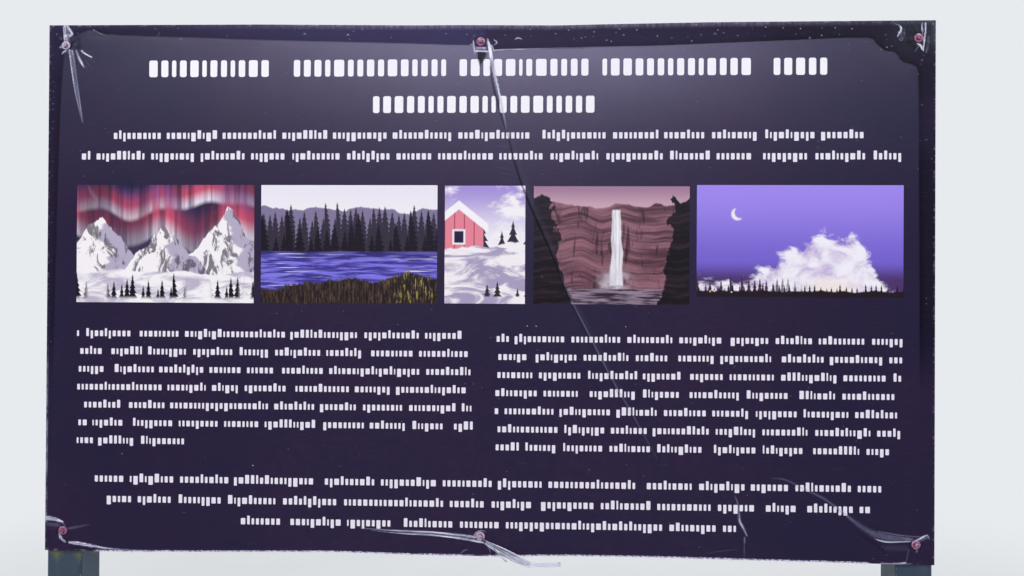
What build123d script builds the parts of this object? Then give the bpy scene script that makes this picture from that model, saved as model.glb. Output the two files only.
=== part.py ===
from build123d import *
import os

# Outdoor information board between two square steel posts, in millimetres.
# +Z is up, the printed face looks along -Y, and the origin is on the ground midway between the posts.

# Printed face
board_width = 2000
board_height = 1200
board_bottom = 950
sheet_thickness = 1

# Backing panel behind the sheet
panel_thickness = 3
panel_inset = 10

# Posts, square tube
post_size = 80
post_wall = 3
post_corner = 6
sheet_past_post = 2

# Post caps, pushed into the tubes
cap_thickness = 5
cap_below_sheet_top = 5
cap_chamfer = 2
cap_plug_above_screw = 10
cap_plug_wall = 2.5
cap_clearance = 0.3

# Rails and studs, rectangular tube, with the outer rails' distance inside the sheet's edges
rail_from_edge = 13
rail_height = 60
middle_rail_height = 40
rail_depth = 40
rail_wall = 3
rail_corner = 5
stud_width = 40
stud_wall = 2
stud_corner = 4
stud_spacing = 640

# Base plates, their anchor holes and their ribs
plate_size = 300
plate_thickness = 12
plate_corner = 10
anchor_from_edge = 40
anchor_hole = 18
rib_from_edge = 20
rib_height = 110
rib_toe = 15
rib_notch = 12
rib_thickness = 8

# Self-drilling screws and their coloured washers
shank_diameter = 5.5
shank_clearance = 0.25
shank_past_wall = 6
point_length = 5
point_diameter = 1
head_across_flats = 8
flange_past_flats = 1.5
flange_thickness = 1.2
head_height = 4.5
head_chamfer = 0.6
washer_diameter = 20
washer_thickness = 2.5
washer_edge = 0.8

# Places that follow from the sizes above
board_top = board_bottom + board_height
board_middle = board_bottom + board_height / 2
post_x = board_width / 2 - sheet_past_post - post_size / 2
frame_front = post_size / 2
panel_front = frame_front + panel_thickness
sheet_front = panel_front + sheet_thickness
washer_front = sheet_front + washer_thickness
screw_hole = shank_diameter + 2 * shank_clearance
screw_inset = rail_from_edge + rail_height / 2
top_screw_z = board_top - screw_inset
bottom_screw_z = board_bottom + screw_inset
post_top = board_top - cap_below_sheet_top - cap_thickness
rail_length = 2 * post_x - post_size
rail_y = rail_depth / 2 - frame_front
post_bore = post_size - 2 * post_wall
anchor_spacing = plate_size - 2 * anchor_from_edge
rib_start = post_size / 2
rib_end = plate_size / 2 - rib_from_edge
flange_diameter = head_across_flats + 2 * flange_past_flats
shank_end = frame_front - post_wall - shank_past_wall

# node, x, z, and how far by hand it was set from its nominal place along x and along z
screws = [
    ("top_left", -post_x, top_screw_z, -2, -3),
    ("top_middle", 0, top_screw_z, -7, 1),
    ("top_right", post_x, top_screw_z, 4, 4),
    ("bottom_left", -post_x, bottom_screw_z, 0, 1),
    ("bottom_middle", 0, bottom_screw_z, -2, 3),
    ("bottom_right", post_x, bottom_screw_z, 1, 0),
]
screw_places = [(x + dx, z + dz) for node, x, z, dx, dz in screws]

# side of the board, sign of x
sides = [("left", -1), ("right", 1)]

os.makedirs("parts", exist_ok=True)


def finish(builder, node):
    """Labels a finished piece and writes its file."""
    builder.part.label = node
    export_step(builder.part, f"parts/{node}.step")


# Posts, with a hole in the front wall at each screw that reaches them
for side, sign in sides:
    with BuildPart() as post:
        with BuildSketch(Plane.XY.offset(plate_thickness)):
            with Locations((sign * post_x, 0)):
                RectangleRounded(post_size, post_size, post_corner)
                RectangleRounded(post_bore, post_bore, post_corner - post_wall, mode=Mode.SUBTRACT)
        extrude(amount=post_top - plate_thickness)
        with BuildSketch(Plane.XZ.offset(frame_front)):
            with Locations(*[(x, z) for x, z in screw_places if sign * x > post_x - post_size / 2]):
                Circle(screw_hole / 2)
        extrude(amount=-post_wall, mode=Mode.SUBTRACT)
    finish(post, f"{side}_post")

# Caps: a flange on the tube's end and a hollow plug inside it
plug_size = post_bore - 2 * cap_clearance
plug_bore = plug_size - 2 * cap_plug_wall
plug_length = post_top - (top_screw_z + shank_diameter / 2 + cap_plug_above_screw)
for side, sign in sides:
    with BuildPart() as cap:
        with BuildSketch(Plane.XY.offset(post_top)):
            with Locations((sign * post_x, 0)):
                RectangleRounded(post_size, post_size, post_corner)
        extrude(amount=cap_thickness)
        chamfer(cap.faces().sort_by(Axis.Z)[-1].edges(), cap_chamfer)
        with BuildSketch(Plane.XY.offset(post_top)):
            with Locations((sign * post_x, 0)):
                RectangleRounded(plug_size, plug_size, post_corner - post_wall)
                Rectangle(plug_bore, plug_bore, mode=Mode.SUBTRACT)
        extrude(amount=-plug_length)
    finish(cap, f"{side}_post_cap")

# Base plates with their anchor holes
for side, sign in sides:
    with BuildPart() as plate:
        with BuildSketch():
            with Locations((sign * post_x, 0)):
                RectangleRounded(plate_size, plate_size, plate_corner)
                with GridLocations(anchor_spacing, anchor_spacing, 2, 2):
                    Circle(anchor_hole / 2, mode=Mode.SUBTRACT)
        extrude(amount=plate_thickness)
    finish(plate, f"{side}_base_plate")

# place on the post, direction away from it: x counts outwards from the board's middle, y to the back
ribs = [
    ("outer", 1, 0),
    ("inner", -1, 0),
    ("front", 0, -1),
    ("rear", 0, 1),
]
for side, sign in sides:
    for place, out, back in ribs:
        away = Vector(sign * out, back, 0)
        flat = Plane(
            origin=(sign * post_x, 0, plate_thickness),
            x_dir=away,
            z_dir=away.cross(Vector(0, 0, 1)),
        )
        with BuildPart() as rib:
            with BuildSketch(flat):
                with BuildLine():
                    Polyline(
                        (rib_start + rib_notch, 0),
                        (rib_end, 0),
                        (rib_end, rib_toe),
                        (rib_start + rib_toe, rib_height),
                        (rib_start, rib_height),
                        (rib_start, rib_notch),
                        close=True,
                    )
                make_face()
            extrude(amount=rib_thickness / 2, both=True)
        finish(rib, f"{side}_{place}_rib")

# Rails between the posts, with a hole in the front wall at each screw that reaches them
# node, height, z of its middle
rails = [
    ("top_rail", rail_height, top_screw_z),
    ("middle_rail", middle_rail_height, board_middle),
    ("bottom_rail", rail_height, bottom_screw_z),
]
for node, height, z in rails:
    with BuildPart() as rail:
        with BuildSketch(Plane.YZ.offset(-rail_length / 2)):
            with Locations((rail_y, z)):
                RectangleRounded(rail_depth, height, rail_corner)
                RectangleRounded(
                    rail_depth - 2 * rail_wall,
                    height - 2 * rail_wall,
                    rail_corner - rail_wall,
                    mode=Mode.SUBTRACT,
                )
        extrude(amount=rail_length)
        for screw_x, screw_z in screw_places:
            if abs(screw_x) < rail_length / 2 and abs(screw_z - z) < height / 2:
                with BuildSketch(Plane.XZ.offset(frame_front)):
                    with Locations((screw_x, screw_z)):
                        Circle(screw_hole / 2)
                extrude(amount=-rail_wall, mode=Mode.SUBTRACT)
    finish(rail, node)

# Studs between the rails
# bay, z of its lower end, z of its upper end
bays = [
    ("lower", bottom_screw_z + rail_height / 2, board_middle - middle_rail_height / 2),
    ("upper", board_middle + middle_rail_height / 2, top_screw_z - rail_height / 2),
]
for bay, low, high in bays:
    for side, sign in sides:
        with BuildPart() as stud:
            with BuildSketch(Plane.XY.offset(low)):
                with Locations((sign * stud_spacing / 2, rail_y)):
                    RectangleRounded(stud_width, rail_depth, stud_corner)
                    RectangleRounded(
                        stud_width - 2 * stud_wall,
                        rail_depth - 2 * stud_wall,
                        stud_corner - stud_wall,
                        mode=Mode.SUBTRACT,
                    )
            extrude(amount=high - low)
        finish(stud, f"{bay}_{side}_stud")

# The panel on the frame and the printed sheet on the panel, both pierced by the same screws
# node, how far inside the sheet's edges, distance from the posts' middle, thickness
layers = [
    ("backing_panel", panel_inset, frame_front, panel_thickness),
    ("print_sheet", 0, panel_front, sheet_thickness),
]
for node, inset, back, thickness in layers:
    with BuildPart() as layer:
        with BuildSketch(Plane.XZ.offset(back)):
            with Locations((0, board_middle)):
                Rectangle(board_width - 2 * inset, board_height - 2 * inset)
            with Locations(*screw_places):
                Circle(screw_hole / 2, mode=Mode.SUBTRACT)
        extrude(amount=thickness)
    finish(layer, node)

# Washers on the sheet and hexagon-headed screws on the washers
for node, x, z, dx, dz in screws:
    place = Location((x + dx, z + dz))
    with BuildPart() as washer:
        with BuildSketch(Plane.XZ.offset(sheet_front)):
            with Locations(place):
                Circle(washer_diameter / 2)
                Circle(screw_hole / 2, mode=Mode.SUBTRACT)
        extrude(amount=washer_thickness)
        rim = washer.edges().filter_by(GeomType.CIRCLE).group_by(SortBy.RADIUS)[-1].sort_by(Axis.Y)[0]
        chamfer(rim, washer_edge)
    finish(washer, f"{node}_washer")

    with BuildPart() as screw:
        with BuildSketch(Plane.XZ.offset(washer_front)):
            with Locations(place):
                Circle(flange_diameter / 2)
        extrude(amount=flange_thickness)
        with BuildSketch(Plane.XZ.offset(washer_front + flange_thickness)):
            with Locations(place):
                RegularPolygon(head_across_flats / 2, 6, major_radius=False)
        extrude(amount=head_height)
        chamfer(screw.faces().sort_by(Axis.Y)[0].edges(), head_chamfer)
        with BuildSketch(Plane.XZ.offset(washer_front)):
            with Locations(place):
                Circle(shank_diameter / 2)
        extrude(amount=shank_end - washer_front)
        with BuildSketch(Plane.XZ.offset(shank_end)) as shank_foot:
            with Locations(place):
                Circle(shank_diameter / 2)
        with BuildSketch(Plane.XZ.offset(shank_end - point_length)) as point:
            with Locations(place):
                Circle(point_diameter / 2)
        loft(sections=[shank_foot.sketch, point.sketch])
    finish(screw, f"{node}_screw")
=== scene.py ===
import functools
import math

import bpy
import numpy as np
from mathutils import Matrix, Vector
from mathutils.geometry import delaunay_2d_cdt


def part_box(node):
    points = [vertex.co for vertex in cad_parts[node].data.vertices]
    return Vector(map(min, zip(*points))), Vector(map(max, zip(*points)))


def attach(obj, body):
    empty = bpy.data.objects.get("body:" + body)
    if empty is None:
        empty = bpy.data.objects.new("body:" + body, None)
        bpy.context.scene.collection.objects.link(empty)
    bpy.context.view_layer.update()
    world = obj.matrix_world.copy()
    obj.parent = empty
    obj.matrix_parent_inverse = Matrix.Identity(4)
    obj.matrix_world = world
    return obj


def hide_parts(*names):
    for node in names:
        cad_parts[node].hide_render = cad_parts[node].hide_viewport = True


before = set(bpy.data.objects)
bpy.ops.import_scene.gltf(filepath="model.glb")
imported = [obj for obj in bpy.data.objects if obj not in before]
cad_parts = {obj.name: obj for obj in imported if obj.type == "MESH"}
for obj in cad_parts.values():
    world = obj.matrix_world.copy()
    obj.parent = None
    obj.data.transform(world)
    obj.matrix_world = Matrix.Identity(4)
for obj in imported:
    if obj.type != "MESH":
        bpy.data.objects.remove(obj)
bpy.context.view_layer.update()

# Outdoor information board: a printed cloth on a steel frame, folded and whitened round its six screws,
# with painted glints on its folds and painted shade in its creases.
# Scene units are metres. The print's layout and its folds are in millimetres from the middle of the
# printed face, x to the reader's right and z upwards.

MM = 0.001
PLATE_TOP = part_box("left_base_plate")[1].z
SHEET_LOW, SHEET_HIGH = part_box("print_sheet")
BOARD_X = (SHEET_LOW.x + SHEET_HIGH.x) / 2
BOARD_Z = (SHEET_LOW.z + SHEET_HIGH.z) / 2
BOARD_WIDTH = (SHEET_HIGH.x - SHEET_LOW.x) / MM
BOARD_HEIGHT = (SHEET_HIGH.z - SHEET_LOW.z) / MM
SHEET_FRONT = SHEET_LOW.y
CLOTH_THICKNESS = 0.7 * MM
SCREW_CORNERS = [f"{row}_{place}" for row in ("top", "bottom") for place in ("left", "middle", "right")]
SIDES = ("left", "right")


def middle(node):
    """The middle of a CAD node's box."""
    low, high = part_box(node)
    return (low + high) / 2


def on_board(point):
    """A point of the scene as x and z on the board, in millimetres from its middle."""
    return (point.x - BOARD_X) / MM, (point.z - BOARD_Z) / MM


WASHERS = {place: on_board(middle(f"{place}_washer")) for place in SCREW_CORNERS}


def new_object(name, data):
    """A new object in the scene."""
    made = bpy.data.objects.new(name, data)
    bpy.context.scene.collection.objects.link(made)
    return made


# Camera and stage

CAMERA_PLACE = (0.125, SHEET_FRONT - 1.751, 1.544)
CAMERA_LENS = 27.42
CAMERA_YAW, CAMERA_PITCH, CAMERA_ROLL = (math.radians(angle) for angle in (-1.93, 0.31, -0.32))

# name, place, size, power, colour
LAMPS = [
    ("key_lamp", (-2.6, -4.0, 5.6), 2.2, 215, (1.0, 0.985, 0.96)),
    ("fill_lamp", (3.4, -3.4, 4.6), 2.6, 100, (0.95, 0.97, 1.0)),
    ("back_lamp", (1.5, 4.5, 4.6), 3.0, 190, (1, 1, 1)),
    ("left_lamp", (-4.6, 1.0, 3.0), 2.5, 75, (1, 1, 1)),
]
LAMP_TARGET = (0, 0, 1.4)
WORLD_LIGHT = 0.35
WORLD_COLOUR = (0.9, 0.95, 1.0)
BACKDROP = (0.80, 0.83, 0.86)
FLOOR_HALF = 30
FLOOR_PALE, FLOOR_PALER = (0.62, 0.63, 0.64), (0.66, 0.67, 0.68)
FLOOR_FADE = (2.2, 5.0)


def place_camera():
    """The camera that took the photograph, worked out from the board's four corners."""
    forward = Vector((
        math.sin(CAMERA_YAW) * math.cos(CAMERA_PITCH),
        math.cos(CAMERA_YAW) * math.cos(CAMERA_PITCH),
        math.sin(CAMERA_PITCH),
    ))
    level = Vector((math.cos(CAMERA_YAW), -math.sin(CAMERA_YAW), 0))
    drop = forward.cross(level)
    right = math.cos(CAMERA_ROLL) * level + math.sin(CAMERA_ROLL) * drop
    down = -math.sin(CAMERA_ROLL) * level + math.cos(CAMERA_ROLL) * drop
    data = bpy.data.cameras.new("camera")
    data.lens = CAMERA_LENS
    data.clip_start = 0.01
    camera = new_object("camera", data)
    turn = Matrix((right, -down, -forward)).transposed().to_4x4()
    camera.matrix_world = Matrix.Translation(CAMERA_PLACE) @ turn
    bpy.context.scene.camera = camera


def add_lamp(name, place, size, power, colour):
    """A square soft lamp that looks at the board."""
    data = bpy.data.lights.new(name, "AREA")
    data.size = size
    data.energy = power
    data.color = colour
    lamp = new_object(name, data)
    lamp.location = place
    lamp.rotation_euler = (Vector(LAMP_TARGET) - Vector(place)).to_track_quat("-Z", "Y").to_euler()


def light_stage():
    """Soft studio lamps, high enough that the board's face doesn't mirror them, and a pale world."""
    for lamp in LAMPS:
        add_lamp(*lamp)
    world = bpy.data.worlds.new("studio")
    bpy.context.scene.world = world
    world.use_nodes = True
    net = Net(world.node_tree)
    net.tree.nodes.clear()
    light = net.add("ShaderNodeBackground", {"Color": (*WORLD_COLOUR, 1), "Strength": WORLD_LIGHT})
    shown = net.add("ShaderNodeBackground", {"Color": (*BACKDROP, 1), "Strength": 1})
    both = net.add("ShaderNodeMixShader", {0: net.seen(), 1: light.outputs[0], 2: shown.outputs[0]})
    net.add("ShaderNodeOutputWorld", {"Surface": both.outputs[0]})


def lay_floor():
    """The plain pale floor, which fades into the backdrop before its far edge shows."""
    mesh = bpy.data.meshes.new("floor")
    corners = [(-1, -1), (1, -1), (1, 1), (-1, 1)]
    mesh.from_pydata([(x * FLOOR_HALF, y * FLOOR_HALF, 0) for x, y in corners], [], [(0, 1, 2, 3)])
    floor = new_object("floor", mesh)
    net = new_material("floor")
    x, y, _ = net.split(net.position())
    cloud = net.noise(net.position(), 3, detail=3)
    pale = net.mix(cloud, FLOOR_PALE, FLOOR_PALER)
    net.coat(base_color=pale, roughness=0.8, specular_ior_level=0.2)
    shown = net.add("ShaderNodeEmission", {"Color": (*BACKDROP, 1), "Strength": 1})
    far = net.product(net.rise(net.hypot(x, y), *FLOOR_FADE), net.seen())
    both = net.add("ShaderNodeMixShader", {0: far, 1: net.shader.outputs[0], 2: shown.outputs[0]})
    net.feed(net.tree.nodes["Material Output"].inputs["Surface"], both.outputs[0])
    mesh.materials.append(net.material)


# Node trees

class Net:
    """A node tree, with short calls for the nodes that the finishes use."""

    def __init__(self, tree, material=None):
        self.tree = tree
        self.material = material
        self.shader = tree.nodes.get("Principled BSDF")

    def add(self, kind, inputs=(), **settings):
        """A new node. inputs maps a socket's name or number to a value or to another node's output."""
        made = self.tree.nodes.new(kind)
        for name, value in settings.items():
            setattr(made, name, value)
        for key, value in dict(inputs).items():
            self.feed(made.inputs[key], value)
        return made

    def feed(self, socket, value):
        """Gives a socket a value or another node's output."""
        if isinstance(value, bpy.types.NodeSocket):
            self.tree.links.new(value, socket)
        elif socket.type == "RGBA" and len(value) == 3:
            socket.default_value = (*value, 1)
        else:
            socket.default_value = value

    def coat(self, **values):
        """Feeds the material's shader, whose sockets are named in small letters, and gives the material."""
        for name, value in values.items():
            socket = next(s for s in self.shader.inputs if s.name.lower().replace(" ", "_") == name)
            self.feed(socket, value)
        return self.material

    def math(self, operation, *values, clamp=False):
        return self.add("ShaderNodeMath", enumerate(values), operation=operation, use_clamp=clamp).outputs[0]

    def vector(self, operation, *values):
        return self.add("ShaderNodeVectorMath", enumerate(values), operation=operation).outputs[0]

    def chain(self, operation, values):
        """One operation from the first value to the last."""
        return functools.reduce(lambda a, b: self.math(operation, a, b), values)

    def total(self, *values):
        return self.chain("ADD", values)

    def product(self, *values):
        return self.chain("MULTIPLY", values)

    def most(self, *values):
        return self.chain("MAXIMUM", values)

    def least(self, *values):
        return self.chain("MINIMUM", values)

    def minus(self, a, b, clamp=False):
        return self.math("SUBTRACT", a, b, clamp=clamp)

    def over(self, a, b):
        return self.math("DIVIDE", a, b)

    def scaled(self, value, factor, offset):
        """A value times a factor, plus an offset."""
        return self.math("MULTIPLY_ADD", value, factor, offset)

    def size_of(self, value):
        """A value without its sign."""
        return self.math("ABSOLUTE", value)

    def mix(self, factor, a, b):
        """Colour a turning into colour b."""
        inputs = {0: factor, 6: a, 7: b}
        return self.add("ShaderNodeMix", inputs, data_type="RGBA", clamp_factor=True).outputs[2]

    def blend(self, factor, a, b):
        """Value a turning into value b."""
        return self.add("ShaderNodeMix", {0: factor, 2: a, 3: b}, data_type="FLOAT").outputs[0]

    def rise(self, value, start, end, low=0, high=1):
        """A smooth step from low to high while value goes from start to end."""
        made = self.add(
            "ShaderNodeMapRange",
            {"Value": value, "From Min": start, "From Max": end, "To Min": low, "To Max": high},
            interpolation_type="SMOOTHSTEP",
        )
        return made.outputs[0]

    def noise(self, where, scale, detail=2, rough=0.5, distortion=0):
        """Cloudy noise from 0 to 1 at a place, with scale in cells a unit."""
        inputs = {
            "Vector": where, "Scale": scale, "Detail": detail, "Roughness": rough, "Distortion": distortion
        }
        return self.add("ShaderNodeTexNoise", inputs).outputs[0]

    def wander(self, along, scale, seed, detail=2):
        """Noise from -0.5 to 0.5 along one value."""
        inputs = {"W": self.total(along, seed), "Scale": scale, "Detail": detail}
        made = self.add("ShaderNodeTexNoise", inputs, noise_dimensions="1D")
        return self.minus(made.outputs[0], 0.5)

    def hypot(self, a, b):
        """The length across two legs at a right angle."""
        return self.math("SQRT", self.total(self.product(a, a), self.product(b, b)))

    def apart(self, a, b):
        """How far two values are apart."""
        return self.size_of(self.minus(a, b))

    def seen(self):
        """1 for the rays that show the backdrop, and 0 for those that light the object."""
        path = self.add("ShaderNodeLightPath").outputs
        return self.most(*(path[f"Is {kind} Ray"] for kind in ("Camera", "Glossy", "Transmission")))

    def cells(self, where, scale):
        """Grains at random places: the distance to the nearest one's middle, and its own random values."""
        made = self.add("ShaderNodeTexVoronoi", {"Vector": where, "Scale": scale}).outputs
        return made["Distance"], self.split(made["Color"])

    def facing_up(self):
        """1 where the surface faces the sky."""
        return self.rise(self.split(self.add("ShaderNodeNewGeometry").outputs["Normal"])[2], 0.55, 0.9)

    def position(self, stretch=(1, 1, 1)):
        """Object coordinates, stretched."""
        where = self.add("ShaderNodeTexCoord").outputs["Object"]
        return where if stretch == (1, 1, 1) else self.vector("MULTIPLY", where, stretch)

    def board_place(self):
        """The place on the board: across and up, in millimetres from its middle."""
        x, _, z = self.split(self.position())
        across = self.scaled(x, 1 / MM, -BOARD_X / MM)
        return across, self.scaled(z, 1 / MM, -BOARD_Z / MM)

    def split(self, vector):
        """The three parts of a vector."""
        return self.add("ShaderNodeSeparateXYZ", {0: vector}).outputs

    def join(self, x=0, y=0, z=0):
        return self.add("ShaderNodeCombineXYZ", {0: x, 1: y, 2: z}).outputs[0]

    def attribute(self, name):
        """A value stored on the mesh."""
        return self.add("ShaderNodeAttribute", attribute_name=name, attribute_type="GEOMETRY").outputs["Fac"]

    def bump(self, height, distance, strength=1, normal=None):
        inputs = {"Height": height, "Distance": distance, "Strength": strength}
        if normal is not None:
            inputs["Normal"] = normal
        return self.add("ShaderNodeBump", inputs).outputs[0]

    def use(self, tree, **inputs):
        """A group's outputs. Each input is named as its socket, in lower case with underscores."""
        named = {key.replace("_", " ").title(): value for key, value in inputs.items()}
        return self.add("ShaderNodeGroup", named, node_tree=tree).outputs


def material_tree(name):
    """A new material with one Principled shader: its node tree and itself."""
    material = bpy.data.materials.new(name)
    material.use_nodes = True
    return material.node_tree, material


def new_material(name):
    return Net(*material_tree(name))


SOCKETS = {
    "value": "NodeSocketFloat",
    "colour": "NodeSocketColor",
    "vector": "NodeSocketVector",
    "geometry": "NodeSocketGeometry",
    "material": "NodeSocketMaterial",
}


def new_group(name, inputs, outputs, kind="ShaderNodeTree"):
    """A node group. inputs and outputs map a socket's name to its kind. Gives its net, inputs and outlet."""
    tree = bpy.data.node_groups.new(name, kind)
    for title, kind in inputs.items():
        tree.interface.new_socket(title, in_out="INPUT", socket_type=SOCKETS[kind])
    for title, kind in outputs.items():
        tree.interface.new_socket(title, in_out="OUTPUT", socket_type=SOCKETS[kind])
    net = Net(tree)
    return net, net.add("NodeGroupInput").outputs, net.add("NodeGroupOutput").inputs


# The print's layout

# name, left, right, bottom, top
PICTURES = [
    ("night_peaks", -930, -520, -34, 234),
    ("lake_shore", -504, -103, -33, 234),
    ("snow_hut", -86, 95, -32, 233),
    ("red_gorge", 114, 461, -32, 232),
    ("evening_clouds", 477, 930, -14, 235),
]

TITLE_INK = (0.94, 0.91, 0.95)
TEXT_INK = (0.84, 0.78, 0.90)

# Blocks of lines: name, z of the first line, pitch, height of a bar, mean word, mean bar with its gap,
# gap between bars, gap between words, share of the height that tall bars add, ink, ends of each line
TEXT_BLOCKS = [
    ("title", 499, 83, 38, 330, 24, 8.5, 24, 0, TITLE_INK, [(-765, 765), (-262, 262)]),
    ("introduction", 346, 47, 14, 118, 11.5, 4.2, 11.5, 0.4, TEXT_INK, [(-849, 849), (-929, 929)]),
    ("left_column", -105, 40.7, 13, 104, 10.5, 4.1, 10.5, 0.4, TEXT_INK, [(-929, -19)] * 6 + [(-929, -674)]),
    ("right_column", -111, 40.5, 13, 110, 10.5, 4.1, 10.5, 0.4, TEXT_INK, [(28, 930)] * 6 + [(28, 903)]),
    (
        "closing_lines", -436, 46, 14, 118, 11.5, 4.2, 11.5, 0.4, TEXT_INK,
        [(-893, 893), (-861, 861), (-568, 568)],
    ),
]
LINE_EDGE = 0.8
TEXT_MARGIN = 18
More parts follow.
